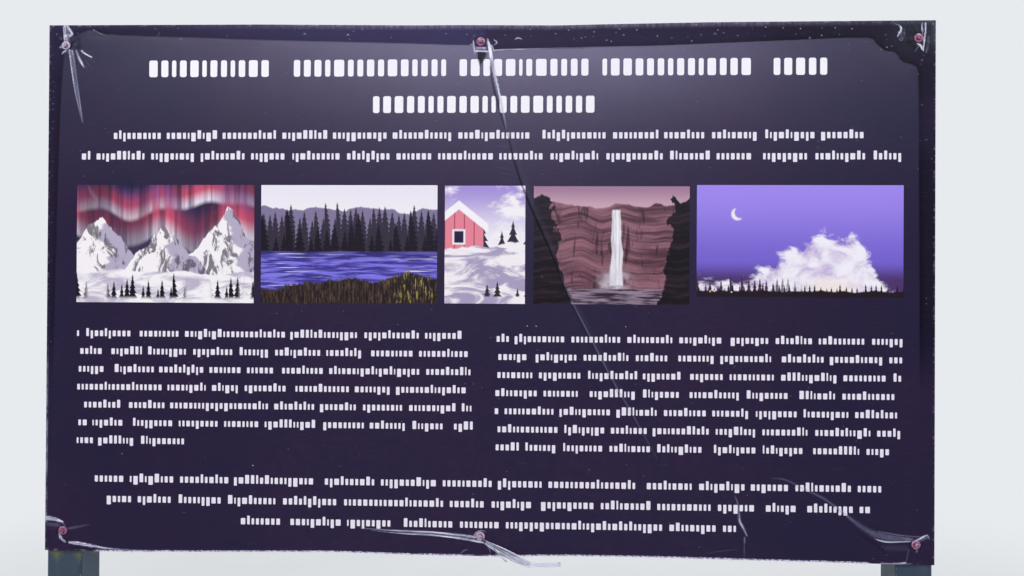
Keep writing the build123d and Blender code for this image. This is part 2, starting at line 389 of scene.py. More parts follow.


# The folds

# name, softness of its edge from 0 to 1, then points of x, z, half width, rise and whiteness, all but the
# last in millimetres. The whiteness is partly real whitened film and partly painted glint
FOLDS = [
    ("top_left_tongue_left", 0.4, [
        (-965, 598, 3.5, 1.5, 0.9), (-964, 583, 4, 2.5, 0.95), (-962, 567, 4.5, 2.5, 0.9),
        (-960, 553, 3.5, 1, 0.75),
    ]),
    ("top_left_tongue_right", 0.4, [
        (-958, 598, 3, 1.5, 0.9), (-952, 588, 4, 2.5, 0.95), (-946, 579, 4, 2.5, 0.95),
        (-952, 575, 4, 2, 0.8),
    ]),
    ("top_left_tongue_hollow", 1, [
        (-960, 595, 5, 0.8, 0.5), (-956, 574, 7.5, 1, 0.55), (-957, 562, 8, 1.2, 0.75),
        (-959, 551, 6, 0.6, 0.7),
    ]),
    ("top_left_spike", 0.5, [
        (-976, 549, 1.5, 0.6, 0.5), (-970, 552, 4, 1.2, 0.85), (-963, 557, 4, 0.8, 0.75),
    ]),
    ("top_left_step", 0.5, [(-970, 535, 2, 0.6, 0.6), (-965, 540, 3.5, 1.4, 0.95), (-958, 543, 2, 0.8, 0.8)]),
    ("top_left_long", 0.4, [
        (-952, 543, 3, 2.2, 0.95), (-949, 527, 2.5, 2.4, 0.85), (-943, 487, 2.2, 2, 0.8),
        (-937, 447, 2, 1.4, 0.6), (-926, 402, 2, 0.8, 0.5), (-920, 378, 1, 0.2, 0.35),
    ]),
    ("top_left_twin", 0.5, [
        (-944, 540, 2.5, 1.4, 0.7), (-939, 521, 2, 1.6, 0.55), (-935, 487, 2, 1.4, 0.5),
        (-929, 447, 2, 1.2, 0.6), (-922, 398, 1.8, 0.6, 0.6), (-918, 376, 0.8, 0.1, 0.4),
    ]),
    ("top_left_wedge", 1, [
        (-947, 540, 7, 0.6, 0.5), (-944, 525, 6.5, 0.8, 0.45), (-939, 487, 6, 0.8, 0.42),
        (-933, 447, 5.5, 0.6, 0.42), (-924, 398, 4, 0.3, 0.36), (-919, 376, 1.5, 0.1, 0.2),
    ]),
    ("top_left_middle", 0.4, [
        (-935, 541, 2.5, 1.2, 0.55), (-929, 525, 3.5, 2, 0.8), (-923, 514, 3.5, 1.8, 1),
        (-916, 502, 1, 0.4, 0.6),
    ]),
    ("top_left_right", 0.4, [
        (-923, 541, 2.5, 0.8, 0.7), (-918, 536, 2.5, 1.4, 0.95), (-899, 526, 2, 0.6, 0.9),
    ]),
    ("top_left_ray_high", 1, [
        (-905, 523, 1.2, 0.1, 0.12), (-894, 517, 1.4, 0.2, 0.2), (-888, 514, 1, 0, 0.05),
    ]),
    ("top_left_ray_middle", 1, [
        (-913, 519, 1.2, 0.1, 0.15), (-902, 505, 1.4, 0.2, 0.24), (-897, 499, 1, 0, 0.05),
    ]),
    ("top_left_ray_low", 1, [
        (-918, 512, 1.2, 0.1, 0.12), (-910, 500, 1.4, 0.2, 0.2), (-906, 493, 1, 0, 0.05),
    ]),
    ("top_left_wave_light", 1, [
        (-898, 588, 3, 0.5, 0.18), (-886, 582, 3, 0.6, 0.22), (-872, 576, 2.5, 0.4, 0.12),
    ]),
    ("picture_scuff", 1, [(-905, 231, 4, 0.3, 0.18), (-893, 210, 9, 0.5, 0.3), (-877, 188, 5, 0.2, 0.12)]),
    ("middle_hook", 0.5, [
        (-24, 562, 1.5, 0.6, 0.7), (-24, 551, 3.5, 1.6, 1), (-22, 538, 3, 1.4, 1), (-19, 527, 1, 0.4, 0.4),
    ]),
    ("middle_spur", 0.5, [(-31, 551, 2, 0.6, 0.5), (-24, 552, 2.5, 0.8, 0.8)]),
    ("middle_lip", 0.8, [(-16, 543, 6, 1.2, 0.6), (2, 543, 6, 1.2, 0.7)]),
    ("middle_lip_edge", 0.4, [(-18, 536, 2.2, 1, 1), (7, 536, 2.6, 1, 1)]),
    ("middle_ridge", 0.35, [
        (8, 565, 2.5, 1, 0.6), (10, 555, 4, 2.4, 0.85), (13, 543, 6, 3, 0.9), (16, 523, 5, 3.4, 1),
        (21, 499, 4.5, 3.4, 1), (28, 467, 4, 3, 1), (37, 431, 3.5, 2.4, 0.85), (45, 393, 2.5, 1.6, 0.6),
        (53, 352, 2, 0.6, 0.2),
    ]),
    ("middle_ridge_foot", 0.6, [(17, 549, 3.5, 0.8, 0.7), (22, 538, 2.5, 0.6, 0.8)]),
    ("top_step", 0.6, [
        (20, 538, 2, 0.6, 0.8), (38, 540, 2, 0.5, 0.8), (94, 541, 1.5, 0.5, 0.7), (171, 543, 1.5, 0.5, 0.4),
        (260, 545, 1, 0.4, 0.3), (372, 546, 1, 0.4, 0.26), (483, 550, 1, 0.3, 0.22), (593, 554, 1, 0.3, 0.18),
        (703, 558, 1, 0.2, 0.15), (813, 562, 1, 0.2, 0.12),
    ]),
    ("crease_shoulder", 1, [
        (60, 357, 8, 0.8, 0.03), (104, 206, 9, 1.6, 0.05), (152, 103, 9, 1.6, 0.05), (234, -85, 8, 1.2, 0.04),
        (338, -276, 6, 0.6, 0.02),
    ]),
    ("crease_light", 0.7, [
        (165, 55, 2, 0.2, 0), (192, -9, 2.5, 0.5, 0.25), (231, -85, 2.5, 0.6, 0.35),
        (291, -201, 2.5, 0.6, 0.32), (336, -276, 2.5, 0.5, 0.22), (392, -376, 2, 0.2, 0.08),
    ]),
    ("top_right_strand", 0.4, [
        (910, 593, 1.5, 0.4, 0.4), (921, 589, 1.5, 1, 0.6), (926, 583, 3, 2, 1), (922, 574, 3.5, 2.4, 1),
        (917, 565, 2, 1, 0.8),
    ]),
    ("top_right_oval", 0.7, [
        (930, 582, 1.5, 0.6, 0.22), (933, 574, 1.5, 0.8, 0.22), (930, 561, 2, 0.8, 0.25),
        (924, 554, 2.5, 0.8, 0.36), (919, 560, 1.5, 0.5, 0.24),
    ]),
    ("top_right_oval_inside", 1, [(926, 572, 5.5, 0.4, 0.15), (924, 559, 5, 0.4, 0.2)]),
    ("top_right_line", 0.4, [
        (970, 593, 1.5, 1.4, 0.9), (970, 579, 2, 1.8, 0.95), (971, 567, 1.5, 1, 0.55),
        (973, 549, 1.5, 1, 0.5),
    ]),
    ("top_right_twin", 0.4, [
        (977, 593, 2.5, 1.6, 1), (978, 579, 2.5, 2, 1), (976, 566, 2.5, 2, 0.95), (974, 548, 2, 1.6, 0.95),
        (973, 533, 1.5, 0.6, 0.8),
    ]),
    ("top_right_wedge", 0.4, [(960, 549, 1.5, 0.8, 0.8), (967, 544, 4, 1.6, 1), (971, 536, 2.5, 1, 1)]),
    ("top_right_spike", 0.6, [(963, 544, 1.5, 0.5, 0.55), (955, 532, 1.5, 0.3, 0.35)]),
    ("top_right_glassy", 0.9, [(984, 563, 4, 0.5, 0.14), (983, 545, 5, 0.6, 0.22), (979, 529, 3, 0.6, 0.32)]),
    ("bottom_left_roll", 0.35, [
        (-999, -528, 6, 2.2, 1), (-979, -530, 5, 3, 1), (-965, -533, 4, 2.8, 1), (-957, -536, 2.5, 1.4, 0.9),
    ]),
    ("bottom_left_grey", 0.9, [(-997, -542, 7, 0.6, 0.2), (-965, -544, 6.5, 0.8, 0.24)]),
    ("bottom_left_link", 0.8, [(-957, -537, 2.5, 0.8, 0.5), (-951, -551, 3, 0.6, 0.35)]),
    ("bottom_left_hook", 0.4, [
        (-967, -561, 2, 0.8, 0.7), (-963, -571, 3.4, 1.6, 1), (-952, -580, 2.5, 0.8, 0.9),
    ]),
    ("bottom_left_faint", 0.9, [
        (-951, -552, 3.5, 0.8, 0.3), (-923, -547, 4, 0.8, 0.24), (-895, -541, 2, 0.2, 0.08),
    ]),
    ("bottom_left_ridge", 0.4, [
        (-941, -581, 3.5, 1.8, 0.9), (-928, -582, 4.5, 2.8, 1), (-900, -586, 4, 2.8, 1),
        (-874, -591, 3, 2.2, 0.95), (-846, -594, 2, 1.2, 0.7), (-809, -596, 1.5, 0.8, 0.5),
        (-749, -598, 1, 0.3, 0.3),
    ]),
    ("bottom_middle_upper", 0.6, [
        (-273, -539, 1.5, 0.3, 0.35), (-220, -543, 2, 1, 0.65), (-120, -545, 3, 2, 0.9),
        (-37, -552, 3, 2.6, 1), (-12, -556, 3.5, 2.6, 1),
    ]),
    ("bottom_middle_lower", 0.6, [
        (-247, -544, 1, 0.3, 0.35), (-186, -550, 2, 1.2, 0.8), (-120, -552, 3, 2, 1), (-70, -556, 3, 2.6, 1),
        (-21, -563, 3.5, 2.8, 1), (6, -569, 2.5, 2, 0.9),
    ]),
    ("bottom_middle_pleat", 1, [
        (-206, -546, 3.5, 0.6, 0.12), (-120, -549, 5, 1.2, 0.35), (-48, -556, 6, 1.8, 0.45),
        (-3, -565, 6, 1.8, 0.5),
    ]),
    ("bottom_middle_hood", 0.5, [
        (-16, -553, 2.5, 1.4, 0.7), (-10, -545, 3, 2, 0.95), (0, -541, 3, 2, 0.8), (9, -543, 2, 0.8, 0.4),
    ]),
    ("bottom_middle_arc", 0.7, [
        (-47, -596, 1, 0.3, 0.4), (-39, -588, 2, 0.7, 0.6), (-30, -585, 1, 0.3, 0.4),
    ]),
    ("bottom_middle_tick", 0.7, [(14, -577, 2, 0.5, 0.5), (20, -585, 2, 0.5, 0.5), (22, -595, 1, 0.2, 0.25)]),
    ("lower_crack", 0.8, [
        (562, -455, 1.5, 0.4, 0.2), (569, -466, 2.5, 0.6, 0.5), (573, -497, 3.5, 0.8, 0.6),
        (573, -511, 4.5, 1, 0.75), (582, -525, 4, 1, 0.75), (590, -543, 2.5, 0.8, 0.6),
    ]),
    ("lower_crack_foot", 0.5, [
        (585, -547, 2, 0.6, 0.5), (585, -557, 2.5, 0.6, 0.45), (584, -566, 1.5, 0.5, 0.15),
        (584, -580, 2, 0.6, 0.3), (584, -588, 1, 0.4, 0.2), (584, -600, 2.5, 0.2, 0),
    ]),
    ("lower_scratch", 1, [(496, -588, 1.5, 0.1, 0.06), (532, -581, 2, 0.2, 0.16), (569, -576, 1.5, 0, 0.1)]),
    ("bottom_right_ridge", 1, [
        (643, -415, 2.5, 0.3, 0.08), (670, -416, 3, 1, 0.24), (692, -426, 3.5, 1.4, 0.28),
        (733, -446, 4, 1.8, 0.3), (760, -459, 4, 2, 0.3), (795, -485, 4.5, 2.2, 0.34),
        (820, -505, 5.5, 2.6, 0.36), (845, -523, 7.5, 3, 0.34), (870, -537, 9, 3.2, 0.3),
    ]),
    ("bottom_right_glassy", 0.6, [
        (864, -535, 8.5, 3, 0.3), (895, -542, 9, 3.2, 0.3), (925, -545, 7, 3.2, 0.32),
        (951, -546, 5, 2.8, 0.42),
    ]),
    ("bottom_right_upper_edge", 0.8, [
        (877, -529, 1.5, 0.8, 0.4), (925, -537, 2, 1, 0.5), (969, -540, 1.5, 0.8, 0.45),
    ]),
    ("bottom_right_lower_edge", 0.5, [
        (868, -544, 1.5, 0.8, 0.35), (879, -549, 2.5, 1.2, 0.9), (897, -552, 2.5, 1.2, 1),
        (919, -551, 2, 1, 0.85), (949, -549, 2, 1, 0.7),
    ]),
    ("bottom_right_flap", 0.45, [
        (955, -549, 2, 1.4, 0.9), (965, -546, 3.2, 2.6, 1), (975, -540, 2.8, 2.6, 1),
        (984, -536, 1.5, 1.4, 0.85),
    ]),
    ("bottom_right_flap_side", 0.6, [
        (984, -536, 1.5, 1, 0.75), (987, -540, 1.8, 1, 0.75), (989, -546, 1.2, 0.4, 0.4),
    ]),
    ("bottom_right_flap_inside", 1, [
        (966, -550, 3, 0.8, 0.3), (978, -543, 5, 1, 0.45), (987, -541, 3, 0.5, 0.35),
    ]),
    ("bottom_right_strand", 0.7, [(964, -564, 2.2, 0.8, 0.7), (960, -573, 1.8, 0.3, 0.45)]),
    ("bottom_right_brown", 1, [(895, -564, 10, 0.4, 0.08), (936, -565, 10, 0.4, 0.08)]),
    ("bottom_right_scratch", 0.8, [(943, -568, 1.5, 0.3, 0.3), (938, -592, 1.5, 0.3, 0.28)]),
    ("bottom_right_torn", 0.5, [
        (882, -600, 2, 0.2, 0.75), (910, -600, 3, 0.3, 0.95), (936, -596, 2.5, 0.2, 0.9),
    ]),
    ("flaked_crescent", 0.5, [
        (21, 564, 1, 0, 0.7), (28, 561, 2, 0, 0.9), (29, 555, 2, 0, 0.9), (23, 551, 1, 0, 0.7),
    ]),
    ("flaked_arch", 0.5, [
        (69, 564, 1, 0, 0.6), (73, 568, 2, 0, 0.9), (81, 568, 2, 0, 0.9), (85, 564, 1, 0, 0.6),
    ]),
    ("flaked_hoop", 0.5, [(-312, 575, 1, 0, 0.6), (-309, 579, 1.5, 0, 0.8), (-306, 575, 1, 0, 0.6)]),
]

# The same for creases, hollows and shadows, with their depth and painted shade in place of rise and whiteness
HOLLOWS = [
    ("top_left_hollow", 0.5, [
        (-942, 563, 5, 0.8, 0.75), (-949, 553, 5.5, 1.2, 0.9), (-954, 546, 3.5, 0.8, 0.85),
        (-962, 545, 2, 0.4, 0.6),
    ]),
    ("top_left_shade", 1, [(-933, 567, 11.5, 0.6, 0.5), (-930, 548, 11.5, 0.8, 0.55)]),
    ("top_left_wave", 1, [(-896, 594, 3.5, 0.5, 0.35), (-884, 586, 5, 0.7, 0.5), (-865, 579, 4, 0.4, 0.3)]),
    ("middle_slot_shadow", 0.25, [
        (-5, 530, 11.5, 1.2, 0.95), (-6, 520, 9.5, 1.2, 0.95), (-8, 511, 5, 0.8, 0.9), (-9, 502, 1, 0.2, 0.5),
    ]),
    ("middle_shadow", 0.8, [
        (14, 500, 3, 0.6, 0.4), (20, 460, 4, 1, 0.7), (33, 412, 4, 1, 0.7), (50, 358, 2.5, 0.4, 0.5),
    ]),
    ("long_crease", 0.8, [
        (53, 357, 2.5, 0.5, 0.5), (71, 280, 3, 0.6, 0.7), (97, 206, 3.2, 0.8, 0.9),
        (144, 103, 3.4, 0.9, 0.95), (165, 55, 3, 0.8, 0.85), (187, -9, 2.6, 0.7, 0.5),
        (226, -85, 2.4, 0.5, 0.35), (286, -201, 2.2, 0.5, 0.3), (331, -276, 2, 0.4, 0.2),
        (389, -376, 1.6, 0.2, 0.05),
    ]),
    ("bottom_left_under", 1, [(-930, -593, 3.5, 0.4, 0.4), (-879, -600, 3.5, 0.3, 0.3)]),
    ("bottom_right_shade", 1, [
        (834, -535, 3.5, 0.4, 0.3), (869, -556, 5.5, 0.6, 0.45), (891, -575, 3.5, 0.3, 0.25),
    ]),
]

# Fine wrinkles beside the long crease: x and z where each starts, its length, and how much it falls
WRINKLES = [
    (30, 322, 34, 6), (26, 306, 42, 9), (32, 290, 40, 8), (28, 274, 46, 10), (40, 260, 40, 9),
    (38, 246, 38, 7),
]

# Small chips of the print, where the white core shows: x, z and half width
CHIPS = [
    (973, 523, 1.8), (970, 512, 3.2), (967, 504, 1.6), (881, 536, 2.7), (901, 529, 1.8), (920, 521, 2.1),
    (891, 569, 2.7), (994, 592, 3.6), (-905, 597, 3), (-23, 573, 1.6), (47, 576, 3.4), (106, 572, 2.5),
    (161, 580, 4.1), (138, 590, 3), (202, 566, 2.7), (-983, 580, 2.7), (-998, 590, 2.7), (-408, 579, 5),
    (-746, 578, 2.3), (-586, 574, 2.3), (485, 572, 3.2), (516, 574, 4.6), (535, 576, 3.4), (566, 569, 3.6),
    (420, 565, 3), (456, 567, 2.1), (626, 568, 2.1), (296, 580, 2.3), (725, 563, 3.6), (752, 585, 3),
    (970, 413, 2.3), (980, 336, 3), (967, 334, 1.8), (992, 294, 2.3), (-694, 567, 3), (-700, 592, 2.6),
]
# A column of them down the left edge
CHIPS += [
    (-990 + 1.5 * math.sin(z), z, 1.7 + 0.5 * math.cos(2 * z))
    for z in (533, 502, 471, 449, 435, 421, 408, 380, 364, 300, 289, 269, 255, 170, 148, 60)
]

# The outline of the cloth's raised inside, beyond which it clings to the panel: left side, top, right side
RAISED_LEFT, RAISED_RIGHT, RAISED_FOOT = -963, 961, 969
RAISED_SIDE = [(-986, -BOARD_HEIGHT / 2), (-985, -208), (-980, 65), (-975, 338), (-969, 490)]
RAISED_TOP = [
    (RAISED_LEFT, 548), (-950, 570), (-925, 582), (-905, 590), (-889, 583), (-882, 580), (-812, 575),
    (-649, 570), (-534, 565), (-419, 562), (-190, 556), (-66, 551), (-28, 551), (7, 537), (22, 538),
    (94, 541), (204, 542), (260, 545), (372, 546), (483, 550), (593, 554), (703, 558), (813, 562),
    (862, 562), (870, 549), (879, 541), (890, 532), (913, 530), (917, 519), (929, 507), (947, 503),
    (958, 497), (RAISED_RIGHT, 490),
]
RAISED_LIFT = 2.4
RAISED_SLOPE = 26

# How far the upper and lower edges stray from a straight line: x and z
TOP_EDGE = [
    (-1000, 601), (-511, 600), (-168, 596), (-55, 596), (171, 594), (282, 596), (505, 599), (1000, 600.5),
]
BOTTOM_EDGE = [
    (-1000, -602), (-802, -601), (-525, -597), (-342, -594), (-160, -597), (20, -598), (199, -594),
    (377, -594), (554, -596), (817, -599), (1000, -602),
]
EDGE_REACH = 60


def smooth_path(points, rounds=2):
    """Cuts the corners of a row of points, and keeps its two ends."""
    path = np.array(points, float)
    for _ in range(rounds):
        if len(path) < 3:
            break
        near = 0.75 * path[:-1] + 0.25 * path[1:]
        far = 0.25 * path[:-1] + 0.75 * path[1:]
        path = np.vstack([path[:1], np.stack([near, far], 1).reshape(-1, path.shape[1])[1:-1], path[-1:]])
    return path


def nearest_on_path(path, x, z):
    """Each place's distance from a path, the path's other columns nearest to it, and the signed distance."""
    best = np.full(len(x), np.inf)
    columns = np.zeros((len(x), path.shape[1] - 1))
    for a, b in zip(path[:-1], path[1:]):
        run = b[:2] - a[:2]
        share = np.clip(((x - a[0]) * run[0] + (z - a[1]) * run[1]) / (run @ run), 0, 1)
        off_x, off_z = x - a[0] - share * run[0], z - a[1] - share * run[1]
        gap = np.hypot(off_x, off_z)
        closer = gap < best
        best[closer] = gap[closer]
        columns[closer, :-1] = a[2:] + share[closer, None] * (b[2:] - a[2:])
        columns[closer, -1] = (gap * np.sign(run[0] * off_z - run[1] * off_x))[closer]
    return best, columns


def bell(share):
    """1 at 0, falling smoothly to 0 at 1."""
    return np.clip(1 - share**2, 0, None) ** 2


def step(share):
    """0 up to 0, rising smoothly to 1 at 1."""
    share = np.clip(share, 0, 1)
    return share * share * (3 - 2 * share)


def wrinkle(x, z, length, fall):
    """A fine wrinkle as a fold."""
    points = [
        (x, z, 2.2, 0.1, 0.02), (x + length / 2, z - 0.3 * fall, 2.6, 0.7, 0.08),
        (x + length, z - fall, 2.2, 0.1, 0),
    ]
    return "wrinkle", 1, points


def fold_paths(table):
    """Each fold as a smooth path, with its length so far as a last column, and the softness of its edge."""
    paths = []
    for name, softness, points in table:
        path = smooth_path(points)
        lengths = np.linalg.norm(np.diff(path[:, :2], axis=0), axis=1)
        paths.append((np.column_stack([path, np.concatenate([[0], np.cumsum(lengths)])]), softness))
    return paths


RIDGE_PATHS = fold_paths(FOLDS + [wrinkle(*row) for row in WRINKLES])
HOLLOW_PATHS = fold_paths(HOLLOWS)
OUTLINE = smooth_path(
    RAISED_SIDE + RAISED_TOP + [(RAISED_RIGHT + 2, 430), (RAISED_FOOT, -BOARD_HEIGHT / 2)], rounds=1
)
PUCKER_REACH = 34
WASHER_SEAT = 11
DEEPEST = -0.25
CHIP_WHITE = 0.42


def inside_outline(outline, x, z):
    """Which places lie inside the raised outline, closed along the lower edge."""
    inside = np.zeros(len(x), bool)
    for a, b in zip(outline, np.roll(outline, -1, 0)):
        spans = (a[1] > z) != (b[1] > z)
        if spans.any():
            cross = a[0] + (z - a[1]) * (b[0] - a[0]) / (b[1] - a[1] if b[1] != a[1] else 1)
            inside ^= spans & (x < cross)
    return inside


def edge_shift(x, z):
    """How far the cloth's upper and lower edges are drawn in or out at each place."""
    upper = np.interp(x, *zip(*TOP_EDGE)) - BOARD_HEIGHT / 2
    lower = np.interp(x, *zip(*BOTTOM_EDGE)) + BOARD_HEIGHT / 2
    from_top, from_bottom = BOARD_HEIGHT / 2 - z, z + BOARD_HEIGHT / 2
    return upper * step(1 - from_top / EDGE_REACH) + lower * step(1 - from_bottom / EDGE_REACH)


def fold_profile(path, softness, x, z):
    """A fold's height and marking at each place, and the place's share across and run along the fold."""
    gap, columns = nearest_on_path(path, x, z)
    half, rise, mark, run, side = columns.T
    return rise * bell(gap / half), mark * step((1 - gap / half) / softness), side / half, run


def cloth_shape(x, z):
    """How far each place of the cloth stands off the panel, and the values that its finish reads there."""
    off_edge, _ = nearest_on_path(OUTLINE, x, z)
    foot = (z < -BOARD_HEIGHT / 2 + 1e-6) & (x > OUTLINE[0, 0]) & (x < RAISED_FOOT)
    inside = inside_outline(OUTLINE, x, z) | foot
    signed = np.where(inside, off_edge, -off_edge)
    clinging = step(0.5 - signed / 3)
    # Painted shadow on the clinging side, just outside the raised outline
    shade = clinging * step(1 + signed / 15)
    waves = 0.5 * np.sin(x / 97 + z / 143) + 0.4 * np.sin(z / 71 - x / 211 + 1.3)
    waves += 0.3 * np.sin(x / 39 + z / 57 + 4)
    height = (RAISED_LIFT + 0.5 * waves) * step(signed / RAISED_SLOPE) + 0.35 * step(signed / 3)
    white, dark, strand, run = (np.zeros(len(x)) for _ in range(4))
    # Folds: raised relief, and whiteness that is partly real whitened film and partly painted glint
    for number, (path, softness) in enumerate(RIDGE_PATHS):
        rise, mark, share, along = fold_profile(path, softness, x, z)
        height += rise
        stronger = mark > white
        white[stronger] = mark[stronger]
        strand[stronger] = 7 * number + share[stronger]
        run[stronger] = along[stronger]
    # Creases, hollows and shadows: sunk relief and painted shade
    for path, softness in HOLLOW_PATHS:
        depth, mark, _, _ = fold_profile(path, softness, x, z)
        height -= depth
        dark = np.maximum(dark, mark)
    dark *= 1 - white
    for number, (wx, wz) in enumerate(WASHERS.values()):
        away = np.hypot(x - wx, z - wz)
        angle = np.arctan2(z - wz, x - wx)
        rays = np.cos(5 * angle + number) + 0.6 * np.cos(8 * angle + 2 * number) + 0.4 * np.cos(13 * angle)
        ring = bell((away - WASHER_SEAT - 6) / 9)
        height = height * step((away - WASHER_SEAT + 1) / 7) + ring * (0.8 + 0.3 * rays)
        white *= step((away - WASHER_SEAT + 3) / 4)
        ray_fade = bell(np.clip((away - WASHER_SEAT) / PUCKER_REACH, 0, 1)) * step((away - WASHER_SEAT) / 6)
        height += 0.3 * rays * ray_fade
    for cx, cz, half in CHIPS:
        flatness = 1 + abs(math.sin(9 * cx))
        share = np.hypot(x - cx, flatness * (z - cz)) / half
        white = np.maximum(white, CHIP_WHITE * step((1 - share) * 1.6))
    finish = {
        "whitening": white, "darkening": dark, "clinging": clinging, "shade": shade, "strand": strand,
        "run": run,
    }
    return np.maximum(height, DEEPEST), finish


# The cloth's mesh

# Sizes of its cells, how near a cell lies in shares of its size, and a fold's cell in half widths
COARSE = 20
PLAIN_FINEST = 2.5
FINEST = 1.25
CELL_REACH = 0.6
CHIP_REACH = 0.7
FOLD_CELL = 0.8


def refine(cells, size, centre_gap):
    """Splits each square cell that centre_gap calls for into four."""
    chosen = centre_gap(cells[:, 0] + size / 2, cells[:, 1] + size / 2, size)
    kept, split = cells[~chosen], cells[chosen]
    half = size / 2
    quarters = [split + shift for shift in ((0, 0), (half, 0), (0, half), (half, half))]
    return kept, np.vstack(quarters)


def needs_detail(x, z, size):
    """Which cells of that size lie near a fold, washer or outline that is finer than they are."""
    wanted = np.zeros(len(x), bool)
    for path, _ in RIDGE_PATHS + HOLLOW_PATHS:
        gap, columns = nearest_on_path(path, x, z)
        half = columns[:, 0]
        wanted |= (gap < half + CELL_REACH * size) & (size > np.maximum(FINEST, FOLD_CELL * half))
    gap, _ = nearest_on_path(OUTLINE, x, z)
    wanted |= (gap < 1 + CELL_REACH * size) & (size > PLAIN_FINEST)
    for wx, wz in WASHERS.values():
        wanted |= (np.hypot(x - wx, z - wz) < PUCKER_REACH + CELL_REACH * size) & (size > PLAIN_FINEST)
    for cx, cz, radius in CHIPS:
        wanted |= (np.hypot(x - cx, z - cz) < radius + CHIP_REACH * size) & (size > FINEST)
    return wanted


def cloth_points():
    """Corners of a lattice of square cells that are finer near the folds."""
    across, up = int(BOARD_WIDTH / COARSE), int(BOARD_HEIGHT / COARSE)
    grid = np.stack(np.meshgrid(np.arange(across), np.arange(up)), -1).reshape(-1, 2) * float(COARSE)
    cells = grid - (BOARD_WIDTH / 2, BOARD_HEIGHT / 2)
    points, size = [], COARSE
    while size > FINEST and len(cells):
        kept, cells = refine(cells, size, needs_detail)
        points += [kept + shift for shift in ((0, 0), (size, 0), (0, size), (size, size))]
        size /= 2
    points += [cells + shift for shift in ((0, 0), (size, 0), (0, size), (size, size))]
    return np.unique(np.round(np.vstack(points), 4), axis=0)


PICTURE_STEP = 4
PICTURE_CLEAR = 1.3
HOLE_SIDES = 16
HOLE_RADIUS = 3.0
HOLE_CLEAR = 0.6


def cloth_triangles():
    """The flat cloth as points and triangles, with the pictures' borders and the screw holes as edges."""
    points = cloth_points()
    loops = []
    for name, left, right, bottom, top in PICTURES:
        corners = [(left, bottom), (right, bottom), (right, top), (left, top)]
        loop = []
        for a, b in zip(corners, corners[1:] + corners[:1]):
            count = round(math.dist(a, b) / PICTURE_STEP)
            wide, tall = b[0] - a[0], b[1] - a[1]
            loop += [(a[0] + wide * i / count, a[1] + tall * i / count) for i in range(count)]
            along = abs(wide) > abs(tall)
            low, high = sorted((a[0], b[0]) if along else (a[1], b[1]))
            level = a[1] if along else a[0]
            run, side = (points[:, 0], points[:, 1]) if along else (points[:, 1], points[:, 0])
            near = (run > low - PICTURE_CLEAR) & (run < high + PICTURE_CLEAR)
            points = points[~(near & (abs(side - level) < PICTURE_CLEAR))]
        loops.append(loop)
    for x, z in WASHERS.values():
        points = points[np.hypot(points[:, 0] - x, points[:, 1] - z) > HOLE_RADIUS + HOLE_CLEAR]
        turns = [2 * math.pi * i / HOLE_SIDES for i in range(HOLE_SIDES)]
        loops.append([(x + HOLE_RADIUS * math.cos(t), z + HOLE_RADIUS * math.sin(t)) for t in turns])
    edges, count = [], len(points)
    for loop in loops:
        numbers = list(range(count, count + len(loop)))
        edges += list(zip(numbers, numbers[1:] + numbers[:1]))
        count += len(loop)
    flat = [Vector(p) for p in points] + [Vector(p) for loop in loops for p in loop]
    made = delaunay_2d_cdt(flat, edges, [], 0, 1e-5)
    spots = np.array([(v.x, v.y) for v in made[0]])
    triangles = np.array(made[2])
    centres = spots[triangles].mean(1)
    for x, z in WASHERS.values():
        kept = np.hypot(centres[:, 0] - x, centres[:, 1] - z) > HOLE_RADIUS * 0.97
        triangles, centres = triangles[kept], centres[kept]
    return spots, triangles, centres


def rim_edges(triangles):
    """The edges that only one triangle uses, in that triangle's direction."""
    sides = np.vstack([triangles[:, [0, 1]], triangles[:, [1, 2]], triangles[:, [2, 0]]])
    key = np.sort(sides, 1)
    _, first, counts = np.unique(key, axis=0, return_index=True, return_counts=True)
    return sides[first[counts == 1]]


def store(mesh, values):
    """Stores named values on a mesh's points, each given as one or more arrays."""
    for name, arrays in values.items():
        layer = mesh.attributes.new(name, "FLOAT", "POINT")
        layer.data.foreach_set("value", np.concatenate(arrays).astype(np.float32))


def make_cloth(regions, plain, back):
    """The printed cloth: a thin closed sheet with its folds, each region of its face in its own material."""
    spots, triangles, centres = cloth_triangles()
    x, z = spots.T
    height, stored = cloth_shape(x, z)
    shifted = z + edge_shift(x, z)
    count = len(spots)
    front = np.stack([BOARD_X + x * MM, SHEET_FRONT - height * MM, BOARD_Z + shifted * MM], 1)
    rear = front + (0, CLOTH_THICKNESS, 0)
    turned = np.cross(*(np.diff(spots[triangles], axis=1).transpose(1, 0, 2))) < 0
    triangles[turned] = triangles[turned][:, ::-1]
    walls = [(b, a, a + count, b + count) for a, b in rim_edges(triangles)]
    faces = triangles.tolist() + (triangles[:, ::-1] + count).tolist() + [tuple(map(int, w)) for w in walls]
    mesh = bpy.data.meshes.new("printed_cloth")
    mesh.from_pydata(np.vstack([front, rear]).tolist(), [], faces)
    materials = [plain, back] + [material for material, *_ in regions]
    for material in materials:
        mesh.materials.append(material)
    chosen = np.zeros(len(faces), np.int32)
    chosen[len(triangles):] = 1
    for number, (_, left, right, bottom, top) in enumerate(regions):
        across, up = centres.T
        within = (across > left) & (across < right) & (up > bottom) & (up < top)
        chosen[: len(triangles)][within] = number + 2
    mesh.polygons.foreach_set("material_index", chosen)
    mesh.polygons.foreach_set("use_smooth", np.ones(len(faces), bool))
    stored["to_edge"] = np.minimum(BOARD_WIDTH / 2 - abs(x), BOARD_HEIGHT / 2 - abs(z))
    stored["to_bottom"] = z + BOARD_HEIGHT / 2
    store(mesh, {name: [values] * 2 for name, values in stored.items()})
    mesh.validate()
    cloth = new_object("printed_cloth", mesh)
    mark_sharp_rim(mesh, count)
    print("cloth:", count, "points a side,", len(triangles) * 2 + len(walls) * 2, "triangles")
    return cloth


